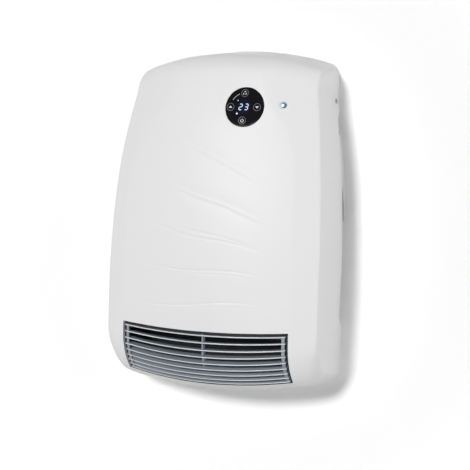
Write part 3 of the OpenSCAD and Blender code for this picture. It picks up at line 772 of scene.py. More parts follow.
def aimed_points(
    name: str,
    points: Sequence[Vector],
    edges: Sequence[tuple[int, int]],
    label: str,
    ways: Sequence[Vector],
) -> bpy.types.Object:
    """Returns an object of points that each hold a direction.

    Args:
        name: Its name.
        points: The points.
        edges: The edges between them.
        label: The name that the directions are stored under.
        ways: One direction for each point.

    Returns:
        The object, in the scene.
    """
    mesh = bpy.data.meshes.new(name)
    mesh.from_pydata([tuple(p) for p in points], edges, [])
    store = mesh.attributes.new(label, "FLOAT_VECTOR", "POINT")
    for entry, way in zip(store.data, ways):
        entry.vector = way
    return linked(name, mesh)


# -------------------------------------------------------------------- the skin


@dataclass
class Skin:
    """Outer surface of the cover, from the same named sizes as the solids."""

    body_w: float = 266.0
    body_h: float = 390.0
    body_d: float = 97.0
    shoulder: float = 23.0
    shoulder_z: float = 125.0
    side_d: float = 72.0
    side_draft: float = 2.2
    facet_w: float = 26.0
    facet_d: float = 12.5
    bow_r: float = 1050.0
    bow_z: float = 140.0
    roll_r: float = 58.0
    roll_turn: float = 64.0
    lip_r: float = 4.0
    top_r: float = 28.0
    top_slope: float = 11.0
    top_arch: float = 18.0
    bottom_arch: float = 16.0
    top_corner: float = 12.0
    lip_corner: float = 22.0
    rear_corner: float = 12.0
    bend_b: float = 3.0
    bend_c: float = 3.0
    bend_c_top: float = 34.0
    straight_top: float = 38.0
    crown_reach: float = 60.0
    bottom_span: Pair = (8.0, 120.0)
    lip_span: Pair = (0.0, 60.0)
    arch_span: Pair = (155.0, 18.0)
    corner_span: Pair = (60.0, 14.0)
    crease_span: Pair = (120.0, 40.0)
    side_rise: float = 13.0

    def __post_init__(self) -> None:
        """Works out the centres of the profile's arcs."""
        turn = math.radians(self.roll_turn)
        self.roll_z = self.lip_r + (self.roll_r - self.lip_r) * math.sin(turn)
        bow_gap = self.bow_r - self.roll_r
        self.front_lo = math.asin((self.roll_z - self.bow_z) / bow_gap)
        self.bow_c = (self.body_d - self.bow_r, self.bow_z)
        self.roll_c = (self.bow_c[0] + bow_gap * math.cos(self.front_lo), self.roll_z)
        self.lip_c = (self.roll_c[0] + (self.roll_r - self.lip_r) * math.cos(turn), self.lip_r)
        slope = math.radians(self.top_slope)
        self.top_m = math.tan(slope)
        line = self.body_h - self.top_r / math.cos(slope)
        b = self.bow_c[0] + self.top_m * (line - self.bow_z)
        q = self.bow_c[0] ** 2 + (line - self.bow_z) ** 2 - (self.bow_r - self.top_r) ** 2
        m2 = 1 + self.top_m**2
        depth = (b + math.sqrt(b * b - m2 * q)) / m2
        self.top_c = (depth, line - self.top_m * depth)
        self.front_hi = math.atan2(self.top_c[1] - self.bow_z, self.top_c[0] - self.bow_c[0])
        self.facet_x = self.body_w / 2 - self.side_draft - self.facet_w
        rise = self.body_d - self.side_d - self.facet_d
        self.crown_r = (self.facet_x**2 + rise**2) / (2 * rise)
        self.roll_len = self.roll_r * (turn + self.front_lo)
        self.front_len = self.bow_r * (self.front_hi - self.front_lo)
        self.top_len = self.top_r * (math.pi / 2 - slope - self.front_hi)
        self.wall_len = (self.top_c[0] + self.top_r * math.sin(slope)) / math.cos(slope)
        self.lip_len = self.lip_r * (math.pi / 2 - turn)

    def half_at(self, height: float) -> float:
        """Returns the half width at the wall for an unlifted height."""
        over = max(0.0, min(height, self.body_h - self.straight_top) - self.shoulder_z)
        return self.body_w / 2 - self.shoulder * (over / (self.body_h - self.shoulder_z)) ** 2

    def side_at(self, height: float) -> float:
        """Returns the half width at the wall for a true height on the arched sides."""
        risen = self.top_arch * self.near_top(height + self.side_rise, self.arch_span)
        return self.half_at(height + risen)

    def near_top(self, height: float, reach: Pair) -> float:
        """Returns a smooth step from 0 to 1 between two distances below the top."""
        return ease(height, self.body_h - reach[0], self.body_h - reach[1])

    def profile(self, run: float) -> Pair:
        """Walks the middle profile.

        Args:
            run: Distance along it, 0 at the upper end of the lip, positive up
                the front and negative under the heater.

        Returns:
            Depth and height of the point.
        """
        if run < -self.lip_len:
            return (max(0.0, self.lip_c[0] + run + self.lip_len), 0.0)
        if run < 0:
            a = -math.radians(self.roll_turn) + run / self.lip_r
            return on_arc(self.lip_c, self.lip_r, a)
        if run < self.roll_len:
            a = run / self.roll_r - math.radians(self.roll_turn)
            return on_arc(self.roll_c, self.roll_r, a)
        run -= self.roll_len
        if run < self.front_len:
            a = self.front_lo + run / self.bow_r
            return on_arc(self.bow_c, self.bow_r, a)
        run -= self.front_len
        if run < self.top_len:
            a = self.front_hi + run / self.top_r
            return on_arc(self.top_c, self.top_r, a)
        left = max(0.0, (self.wall_len - run + self.top_len) * math.cos(math.radians(self.top_slope)))
        return (left, self.body_h - left * self.top_m)

    def run_at(self, height: float) -> float:
        """Returns the run at which the front of the profile has a height."""
        turn = math.asin((height - self.bow_z) / self.bow_r) - self.front_lo
        return self.roll_len + turn * self.bow_r

    def lift(self, x: float, w: float, depth: float, height: float) -> float:
        """Works out the height change from the arched edges and the corners.

        Args:
            x: Sideways place.
            w: Half width at that height.
            depth: Depth of the middle profile.
            height: Unlifted height.

        Returns:
            How much higher the surface is there.
        """

        def drop(radius: float) -> float:
            """Returns how far a corner of a radius falls at x."""
            over = min(1.0, max(0.0, (abs(x) - (w - radius)) / radius))
            return radius * (1 - math.sqrt(max(0.0, 1 - over * over)))

        reach = min(1.0, max(0.0, depth / self.lip_c[0]))
        low = self.rear_corner + (self.lip_corner - self.rear_corner) * reach
        arch = (x / w) ** 2
        return (
            self.bottom_arch * (1 - ease(height, *self.bottom_span)) * arch
            + (1 - ease(height, *self.lip_span)) * drop(low)
            - self.top_arch * self.near_top(height, self.arch_span) * arch
            - self.near_top(height, self.corner_span) * drop(self.top_corner)
        )

    @staticmethod
    def bend(a: Pair, p: Pair, b: Pair, size: float, share: float) -> Pair:
        """Walks a rounded corner.

        Args:
            a: Where the corner's first side comes from.
            p: The sharp corner.
            b: Where its second side leads.
            size: How far from the corner the rounding starts.
            share: Place on the rounding, from 0 to 1.

        Returns:
            The point on the rounding.
        """
        la, lb = math.dist(a, p), math.dist(b, p)
        ta, tb = min(size, 0.8 * la), min(size, 0.8 * lb)
        p0 = (p[0] + (a[0] - p[0]) / la * ta, p[1] + (a[1] - p[1]) / la * ta)
        p1 = (p[0] + (b[0] - p[0]) / lb * tb, p[1] + (b[1] - p[1]) / lb * tb)
        k0, k1, k2 = (1 - share) ** 2, 2 * share * (1 - share), share**2
        return (k0 * p0[0] + k1 * p[0] + k2 * p1[0], k0 * p0[1] + k1 * p[1] + k2 * p1[1])

    def section(self, height: float, station: float) -> Pair:
        """Walks half a section, from the rear edge to the middle.

        Args:
            height: Unlifted height of the section.
            station: 0 to 1 up the side wall, 1 to 2 round its bend, 2 to 3
                over the facet, 3 to 4 round the crease and 4 to 5 over the crown.

        Returns:
            Sideways place and depth, at full depth.
        """
        w = self.half_at(height)
        b = (w - self.side_draft, self.side_d)
        c = (w - self.side_draft - self.facet_w, self.side_d + self.facet_d)
        rise = self.body_d - c[1]
        r = (c[0] ** 2 + rise**2) / (2 * rise)
        slope = c[0] / math.sqrt(r * r - c[0] ** 2)
        soft = self.bend_c + self.bend_c_top * self.near_top(height, self.crease_span)
        far = (c[0] - self.crown_reach, c[1] + self.crown_reach * slope)
        rear = (w, 0.0)
        first = self.bend(rear, b, c, self.bend_b, 0.0)
        if station <= 1:
            return (rear[0] + (first[0] - rear[0]) * station, rear[1] + (first[1] - rear[1]) * station)
        if station <= 2:
            return self.bend(rear, b, c, self.bend_b, station - 1)
        if station <= 3:
            p0 = self.bend(rear, b, c, self.bend_b, 1.0)
            p1 = self.bend(b, c, far, soft, 0.0)
            s = station - 2
            return (p0[0] + (p1[0] - p0[0]) * s, p0[1] + (p1[1] - p0[1]) * s)
        if station <= 4:
            return self.bend(b, c, far, soft, station - 3)
        e = self.bend(b, c, far, soft, 1.0)
        miss = e[1] - (self.body_d - r + math.sqrt(r * r - e[0] ** 2))
        s = 5 - station
        x = e[0] * s
        return (x, self.body_d - r + math.sqrt(r * r - x * x) + miss * s)

    def point(self, run: float, station: float, side: float) -> Triple:
        """Finds a point of the surface.

        Args:
            run: Place along the middle profile.
            station: Place along the half section.
            side: 1 right or -1 left.

        Returns:
            Its x, depth and height.
        """
        depth, height = self.profile(run)
        x, full = self.section(height, station)
        w = self.half_at(height)
        return (side * x, depth * full / self.body_d, height + self.lift(x, w, depth, height))

    def front(self, x: float, run: float, inset: float = 0.0) -> Triple:
        """Finds a point over the crown, in front.

        Args:
            x: Sideways place.
            run: Place along the middle profile.
            inset: How far it lies behind the surface.

        Returns:
            Its x, depth and height.
        """
        if run < self.roll_len:
            a, c, r = run / self.roll_r - math.radians(self.roll_turn), self.roll_c, self.roll_r - inset
        else:
            a, c, r = self.front_lo + (run - self.roll_len) / self.bow_r, self.bow_c, self.bow_r - inset
        depth, height = on_arc(c, r, a)
        share = (self.body_d - self.crown_r + math.sqrt(self.crown_r**2 - x * x)) / self.body_d
        return (x, depth * share, height + self.lift(x, self.half_at(height), depth, height))

    def stand(self, x: float, height: float) -> Matrix:
        """Finds how a round thing stands on the front.

        Args:
            x: Sideways place.
            height: Height on the profile.

        Returns:
            A place on the surface, with Z outwards and Y up.
        """
        spot = metres(*self.front(x, self.run_at(height)))
        tilt = math.pi / 2 - math.asin((height - self.bow_z) / self.bow_r)
        turn = math.asin(x / self.crown_r)
        return Matrix.Translation(spot) @ Matrix.Rotation(turn, 4, "Z") @ Matrix.Rotation(tilt, 4, "X")


@dataclass
class Groove:
    """One flowing line in the front, pressed in or standing as a crest between pressed flanks."""

    places: Sequence[Pair]
    depth: float = 0.62
    half_width: float = 1.5
    crest: bool = False
    upper_flank: float = 0.6
    lower_flank: float = 1.5
    flank_reach: float = 6.0
    sharpness: float = 1.2
    fade: float = 0.3

    def height_at(self, x: float) -> float | None:
        """Follows the line through its places by a smooth curve.

        Args:
            x: Sideways place.

        Returns:
            The line's height, or None beyond its ends.
        """
        pts = self.places
        if not pts[0][0] <= x <= pts[-1][0]:
            return None
        k = max(i for i in range(len(pts) - 1) if pts[i][0] <= x)
        (x0, z0), (x1, z1) = pts[k], pts[k + 1]
        before = pts[k - 1] if k else (2 * x0 - x1, 2 * z0 - z1)
        after = pts[k + 2] if k + 2 < len(pts) else (2 * x1 - x0, 2 * z1 - z0)
        m0 = (z1 - before[1]) / (x1 - before[0]) * (x1 - x0)
        m1 = (after[1] - z0) / (after[0] - x0) * (x1 - x0)
        t = (x - x0) / (x1 - x0)
        return (
            (2 * t**3 - 3 * t**2 + 1) * z0
            + (t**3 - 2 * t**2 + t) * m0
            + (3 * t**2 - 2 * t**3) * z1
            + (t**3 - t**2) * m1
        )

    def press(self, x: float, height: float) -> float:
        """Works out how deep the surface is pressed in.

        Args:
            x: Sideways place.
            height: Height of the point.

        Returns:
            The depth at that point.
        """
        line = self.height_at(x)
        if line is None:
            return 0.0
        first, last = self.places[0][0], self.places[-1][0]
        fade = self.fade * (last - first)
        ends = ease(x - first, 0, fade) * ease(last - x, 0, fade)
        away = (height - line) / self.half_width
        if self.crest:
            flank = away * (self.upper_flank if away > 0 else self.lower_flank)
            spread = math.exp(-((away / self.flank_reach) ** 2))
            return self.depth * ends * (1 - math.exp(-(flank**2))) * spread
        return self.depth * ends * max(0.0, 1 - abs(away)) ** self.sharpness


GROOVES: tuple[Groove, ...] = (
    Groove(
        [(-38.0, 278.0), (-7.1, 264.8), (23.6, 250.9), (44.5, 240.4), (72.0, 225.0)],
        depth=0.75,
        half_width=1.3,
        crest=True,
    ),
    Groove(
        [(-52.0, 230.0), (-10.9, 215.5), (25.4, 205.6), (48.2, 196.6), (82.0, 183.5)],
        depth=0.65,
        half_width=1.3,
        crest=True,
    ),
    Groove(
        [(-86.0, 192.5), (-48.2, 179.5), (-16.1, 170.8), (22.2, 166.9), (50.5, 161.7), (84.0, 152.8)]
    ),
    Groove([(-40.0, 181.5), (4.8, 174.4), (33.9, 168.6), (64.0, 160.6), (80.0, 155.6)], 0.4),
    Groove(
        [(-92.0, 142.5), (-54.8, 135.3), (-13.9, 133.1), (24.1, 134.1), (52.0, 132.9), (86.0, 127.0)]
    ),
    Groove([(-46.0, 130.6), (-10.0, 129.4), (24.1, 130.0), (70.0, 127.4)], 0.22),
    Groove([(-92.0, 96.5), (-50.2, 92.8), (-18.6, 93.9), (25.5, 99.0), (53.3, 99.7), (86.0, 97.2)]),
    Groove([(-30.0, 89.8), (10.0, 93.4), (50.0, 95.6), (76.0, 94.4)], 0.22),
)


@dataclass
class Cover:
    """The white front moulding, with its grooves, outlet and window openings."""

    skin: Skin
    wall: float = 3.0
    outlet_half: float = 102.5
    outlet_low: float = 9.5
    outlet_high: float = 78.2
    intake_d: float = 9.0
    display: Pair = DISPLAY_AT
    display_r: float = 22.75
    lamp: Pair = LAMP_AT
    lamp_r: float = 3.2
    side_screw: Pair = SIDE_SCREW_AT
    recess_r: float = 3.3
    recess_out: float = 3.8
    drill_len: float = 24.0
    recess_len: float = 10.0
    intake: Pair = (76.0, 316.0)
    intake_foot: Pair = (-4.0, 14.0)
    intake_head: Pair = (-8.0, 6.0)
    outlet_run: float = 60.0
    crown_from: float = 3.9
    slack: float = 0.01
    crease: float = 35.0
    grooved: Pair = (86.0, 284.0)
    grooves: tuple[Groove, ...] = GROOVES

    def runs(self) -> list[float]:
        """Spaces the rows of the mesh, close together where the grooves run.

        Returns:
            The rows' places along the middle profile.
        """
        skin = self.skin
        first, last = (skin.run_at(height) for height in self.grooved)
        front_end = skin.roll_len + skin.front_len
        top_end = front_end + skin.top_len
        stops = [
            (-skin.lip_len - skin.lip_c[0], 8),
            (-skin.lip_len, 4),
            (0.0, 4),
            (self.outlet_low, 26),
            (self.outlet_high, 5),
            (first, 215),
            (last, 16),
            (front_end, 12),
            (top_end, 8),
        ]
        return spaced(stops, top_end + skin.wall_len)

    def stations(self) -> list[float]:
        """Spaces the columns of half a row, with one exactly on the outlet's side.

        Returns:
            The columns' places along the half section.
        """
        low, high = 3.0, 4.0
        for _ in range(40):
            mid = (low + high) / 2
            if self.skin.section(self.outlet_run, mid)[0] > self.outlet_half:
                low = mid
            else:
                high = mid
        return spaced([(0.0, 10), (1.0, 5), (2.0, 6), (3.0, 3), (low, 3), (4.0, 28)], 5.0)

    def scallop(self, height: float) -> float:
        """Works out how far the side's rear edge stands off the wall.

        Args:
            height: Height on the side.

        Returns:
            The gap between wall and edge.
        """
        foot, head = (
            ease(height, end + reach[0], end + reach[1])
            for end, reach in zip(self.intake, (self.intake_foot, self.intake_head))
        )
        return self.intake_d * foot * (1 - head)

    def surface(self) -> bpy.types.Mesh:
        """Makes the open outer skin with the outlet left out.

        Returns:
            The skin, without thickness.
        """
        skin, rows, half = self.skin, self.runs(), self.stations()
        columns = [(s, 1.0) for s in half] + [(s, -1.0) for s in reversed(half[:-1])]
        points: list[Vector] = []
        for run in rows:
            for station, side in columns:
                x, depth, height = skin.point(run, station, side)
                if station < 1:
                    edge = self.scallop(height)
                    top = depth / station if station > 0 else skin.point(run, 1.0, side)[1]
                    if top > edge:
                        depth = edge + (top - edge) * station
                if station > self.crown_from:
                    depth -= sum(groove.press(x, height) for groove in self.grooves)
                points.append(metres(x, depth, height))
        count = len(columns)
        low, high = self.outlet_low - self.slack, self.outlet_high + self.slack
        across = [abs(skin.point(self.outlet_run, s, side)[0]) for s, side in columns]
        inside = [x <= self.outlet_half + self.slack for x in across]
        faces = []
        for j in range(len(rows) - 1):
            open_row = low <= rows[j] and rows[j + 1] <= high
            for k in range(count - 1):
                if open_row and inside[k] and inside[k + 1]:
                    continue
                a = j * count + k
                faces.append((a, a + 1, a + count + 1, a + count))
        return mesh_from("cover", points, faces)

    def build(self, finish: bpy.types.Material) -> bpy.types.Object:
        """Makes the cover as a closed wall with its round openings cut.

        Args:
            finish: The cover's material.

        Returns:
            The finished piece.
        """
        work = bmesh.new()
        work.from_mesh(self.surface())
        bmesh.ops.remove_doubles(work, verts=work.verts, dist=1e-6)
        loose = [v for v in work.verts if not v.link_faces]
        bmesh.ops.delete(work, geom=loose, context="VERTS")
        obj = linked("cover_raw", outward(work, "cover_raw"))
        shell = obj.modifiers.new("wall", "SOLIDIFY")
        shell.thickness = self.wall * MM
        shell.offset = -1.0
        shell.use_even_offset = True
        cutters = [self.drill(self.display, self.display_r), self.drill(self.lamp, self.lamp_r)]
        cutters += [self.recess(side) for side in (1, -1)]
        mesh = softened(cut_by(obj, cutters), self.crease)
        for vertex in mesh.vertices:
            vertex.co.y = min(vertex.co.y, 0.0)
        cover = piece("cover", mesh, "cover_white", finish)
        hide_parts("front_shell")
        return cover

    def drill(self, place: Pair, radius: float) -> bpy.types.Object:
        """Returns a round cutter that stands on the front at a place."""
        return self.round_cutter(radius, self.drill_len, self.skin.stand(*place))

    def recess(self, side: int) -> bpy.types.Object:
        """Makes the cutter of a side screw's recess.

        Args:
            side: 1 right or -1 left.

        Returns:
            The cutter.
        """
        depth, height = self.side_screw
        spot = metres(side * (self.skin.side_at(height) + self.recess_out), depth, height)
        where = Matrix.Translation(spot) @ Matrix.Rotation(math.pi / 2, 4, "Y")
        return self.round_cutter(self.recess_r, self.recess_len, where)

    @staticmethod
    def round_cutter(radius: float, length: float, where: Matrix) -> bpy.types.Object:
        """Makes a cylinder about the Z axis of a place.

        Args:
            radius: Its radius.
            length: Its length, half on each side of the place.
            where: The place.

        Returns:
            The cutter, in the scene.
        """
        size = radius * MM
        work = bmesh.new()
        bmesh.ops.create_cone(
            work, segments=96, radius1=size, radius2=size, depth=length * MM, cap_ends=True
        )
        work.transform(where)
        return linked("cutter", outward(work, "cutter"))


# ------------------------------------------------------------------ the outlet


class GrillePart(IntEnum):
    """The grille's parts, each with its material's place on the piece."""

    BLADE = 0
    # the sunk frame, a real part coloured near black as painted shade
    FRAME = 1
    # the blades' front edges, lighter as a painted highlight
    EDGE = 2


@dataclass
class Grille:
    """The curved outlet grille: blades, end frames and a centre rib."""

    skin: Skin
    half: float = 102.1
    low: float = 9.9
    high: float = 76.1
    blades: int = 9
    blade_t: float = 1.5
    blade_d: float = 9.2
    blade_round: float = 0.6
    blade_inset: float = 0.7
    end_gap: float = 2.6
    frame_d: float = 10.5
    first_drop: float = 2.6
    spare: float = 6.7
    sag: float = 3.0
    sag_row: float = 5.2
    sag_fade: float = 0.13
    steps: int = 40
    highlight_facing: float = 0.6

    def run_of(self, k: int) -> float:
        """Finds a blade's place, a little lower past the middle.

        Args:
            k: The blade's number from the top, from 0.

        Returns:
            Its place along the front's run.
        """
        pitch = (self.high - self.low - self.spare) / (self.blades - 1)
        lag = max(0.0, self.sag - self.sag_fade * (k - self.sag_row) ** 2)
        return self.high - self.first_drop - k * pitch - lag

    def blade_guides(self) -> bpy.types.Object:
        """Makes one edge strip for each blade.

        Returns:
            The strips, with the surface direction stored on their points.
        """
        points: list[Vector] = []
        edges: list[tuple[int, int]] = []
        ways: list[Vector] = []
        middle = self.blade_inset + self.blade_d / 2
        for k in range(self.blades):
            run = self.run_of(k)
            for i in range(self.steps + 1):
                x = (self.half - self.end_gap) * (2 * i / self.steps - 1)
                here = metres(*self.skin.front(x, run, middle))
                face = metres(*self.skin.front(x, run))
                if i:
                    edges.append((len(points) - 1, len(points)))
                points.append(here)
                ways.append((face - here).normalized())
        return aimed_points("blade_guides", points, edges, "outward", ways)

    def blade_tree(self, finish: bpy.types.Material) -> bpy.types.GeometryNodeTree:
        """Returns the node tree that runs a rounded blade along every guide.

        Args:
            finish: Material of the blades.

        Returns:
            The tree, with the guides and the blade's thickness and depth as named inputs.
        """
        graph = GeometryGraph("grille_blades")
        guides = graph.entry("Guides", "Geometry")
        thickness = graph.entry("Blade thickness", "Float", self.blade_t * MM)
        depth = graph.entry("Blade depth", "Float", self.blade_d * MM)
        facing = graph.stored("outward")
        line = graph.node("GeometryNodeMeshToCurve", Mesh=guides)
        aim = graph.node("GeometryNodeSetCurveNormal", {"mode": "FREE"}, Curve=line, Normal=facing)
        shape = graph.node("GeometryNodeCurvePrimitiveQuadrilateral", Width=depth, Height=thickness)
        rounded = {"Curve": shape, "Radius": self.blade_round * MM, "Count": 3}
        section = graph.node("GeometryNodeFilletCurve", {"mode": "POLY"}, **rounded)
        blades = graph.node("GeometryNodeCurveToMesh", Curve=aim, Profile_Curve=section, Fill_Caps=True)
        return graph.finished(blades, finish)

    def bar(
        self,
        work: bmesh.types.BMesh,
        part: GrillePart,
        wide: Pair,
        along: Pair,
        sunk: Pair,
        parts: tuple[int, int],
    ) -> None:
        """Adds a closed bar that follows the front.

        Args:
            work: The mesh that it goes into.
            part: What it is a part of.
            wide: Its limits across the heater.
            along: Its limits along the front's run.
            sunk: Its limits below the surface.
            parts: How many parts it has across and along.
        """
        across, up = parts
        (left, right), (start, end) = wide, along
        ring = [(start + (end - start) * j / up, sunk[0]) for j in range(up + 1)]
        ring += [(end + (start - end) * j / up, sunk[1]) for j in range(up + 1)]
        rings = []
        for i in range(across + 1):
            x = left + (right - left) * i / across
            spots = [metres(*self.skin.front(x, run, inset)) for run, inset in ring]
            rings.append([work.verts.new(spot) for spot in spots])
        for face in loft(work, rings):
            face.material_index = part

    def bars(self, work: bmesh.types.BMesh) -> None:
        """Adds what holds the blades: two links, the rib, two ends and three sills.

        Args:
            work: The mesh that they go into.
        """
        g, lo, hi, d = self.half, self.low, self.high, self.frame_d
        blade, sunk = GrillePart.BLADE, GrillePart.FRAME
        upright, level = (1, 20), (24, 1)
        self.bar(work, blade, (g - 7.2, g - 3.8), (lo + 3, hi - 1.5), (1.9, d - 4.9), upright)
        self.bar(work, blade, (-g + 3.8, -g + 7.2), (lo + 3, hi - 1.5), (1.9, d - 4.9), upright)
        self.bar(work, blade, (1.4, 3.2), (lo + 0.3, hi - 0.3), (5.6, d + 0.5), upright)
        # the ends and sills take the near-black frame material, painted shade at the outlet's edges
        self.bar(work, sunk, (g - 2.4, g), (lo, hi + 2), (4.2, d), upright)
        self.bar(work, sunk, (-g, -g + 2.4), (lo, hi + 2), (4.2, d), upright)
        self.bar(work, sunk, (-g + 0.6, g - 0.6), (hi - 1.0, hi + 4), (5.2, 6.8), level)
        self.bar(work, sunk, (-g + 0.6, g - 0.6), (lo - 4, lo + 1.6), (4.4, 6.8), level)
        self.bar(work, sunk, (-g + 0.8, g - 0.8), (lo, lo + 1.3), (0.5, 5.4), level)

    def paint_edge_highlights(self, work: bmesh.types.BMesh, guides: bpy.types.Mesh) -> None:
        """Paints a highlight on the blades' front edges by giving them their own lighter material.

        Args:
            work: The blades.
            guides: Their guides, with the surface direction on each point.
        """
        ways = guides.attributes["outward"].data
        tree = KDTree(len(guides.vertices))
        for index, vertex in enumerate(guides.vertices):
            tree.insert(vertex.co, index)
        tree.balance()
        work.faces.ensure_lookup_table()
        for face in work.faces:
            _, index, _ = tree.find(face.calc_center_median())
            # painted highlight: faces that look outwards take the lighter edge material
            if face.normal.dot(ways[index].vector) > self.highlight_facing:
                face.material_index = GrillePart.EDGE

    def build(self, *finishes: bpy.types.Material) -> bpy.types.Object:
        """Makes the whole grille as one piece.

        Args:
            finishes: Materials of the blades, the sunk frame painted near black as shade and the
                blades' front edges painted light as a highlight, in the order of GrillePart.

        Returns:
            The finished piece.
        """
        guides = self.blade_guides()
        guides.modifiers.new("blades", "NODES").node_group = self.blade_tree(finishes[GrillePart.BLADE])
        work = bmesh.new()
        work.from_mesh(settled(guides))
        bmesh.ops.recalc_face_normals(work, faces=work.faces)
        self.paint_edge_highlights(work, guides.data)
        bpy.data.objects.remove(guides)
        self.bars(work)
        grille = piece("grille", outward(work, "grille"), "grille_grey", *finishes)
        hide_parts("outlet_grille")
        return grille


# ----------------------------------------------------------------- the display


class Segment(Enum):
    """The strokes of the digits 2 and 3: x in widths, y in half heights, and whether upright."""

    TOP = (0.0, 1.0, False)
    MIDDLE = (0.0, 0.0, False)
    BOTTOM = (0.0, -1.0, False)
    UPPER_RIGHT = (0.5, 0.5, True)
    LOWER_RIGHT = (0.5, -0.5, True)
    LOWER_LEFT = (-0.5, -0.5, True)


DIGITS: dict[str, tuple[Segment, ...]] = {
    "2": (Segment.TOP, Segment.UPPER_RIGHT, Segment.MIDDLE, Segment.LOWER_LEFT, Segment.BOTTOM),
    "3": (Segment.TOP, Segment.UPPER_RIGHT, Segment.MIDDLE, Segment.LOWER_RIGHT, Segment.BOTTOM),
}


@dataclass(frozen=True)
class Band:
    """A flat arc or ring on the lens, with its ends in degrees."""

    centre: Pair
    radius: float
    width: float
    start: float = 0.0
    end: float = 360.0
    steps: int = 40

    @property
    def closed(self) -> bool:
        """Whether the band is a whole ring."""
        return self.end - self.start >= 360.0

    def pairs(self) -> list[tuple[Pair, Pair]]:
        """Steps along the band.

        Returns:
            The outer and inner place of each step.
        """
        rows = []
        for i in range(self.steps + (0 if self.closed else 1)):
            a = math.radians(self.start + (self.end - self.start) * i / self.steps)
            ends = (self.radius + self.width / 2, self.radius - self.width / 2)
            rows.append(tuple(on_arc(self.centre, r, a) for r in ends))
        return rows


class Key(Enum):
    """The touch keys, each by its centre on the lens."""

    FAN = (-1.0, 15.9)
    UP = (-16.4, -0.2)
    DOWN = (14.7, -0.1)
    POWER = (-1.2, -15.4)


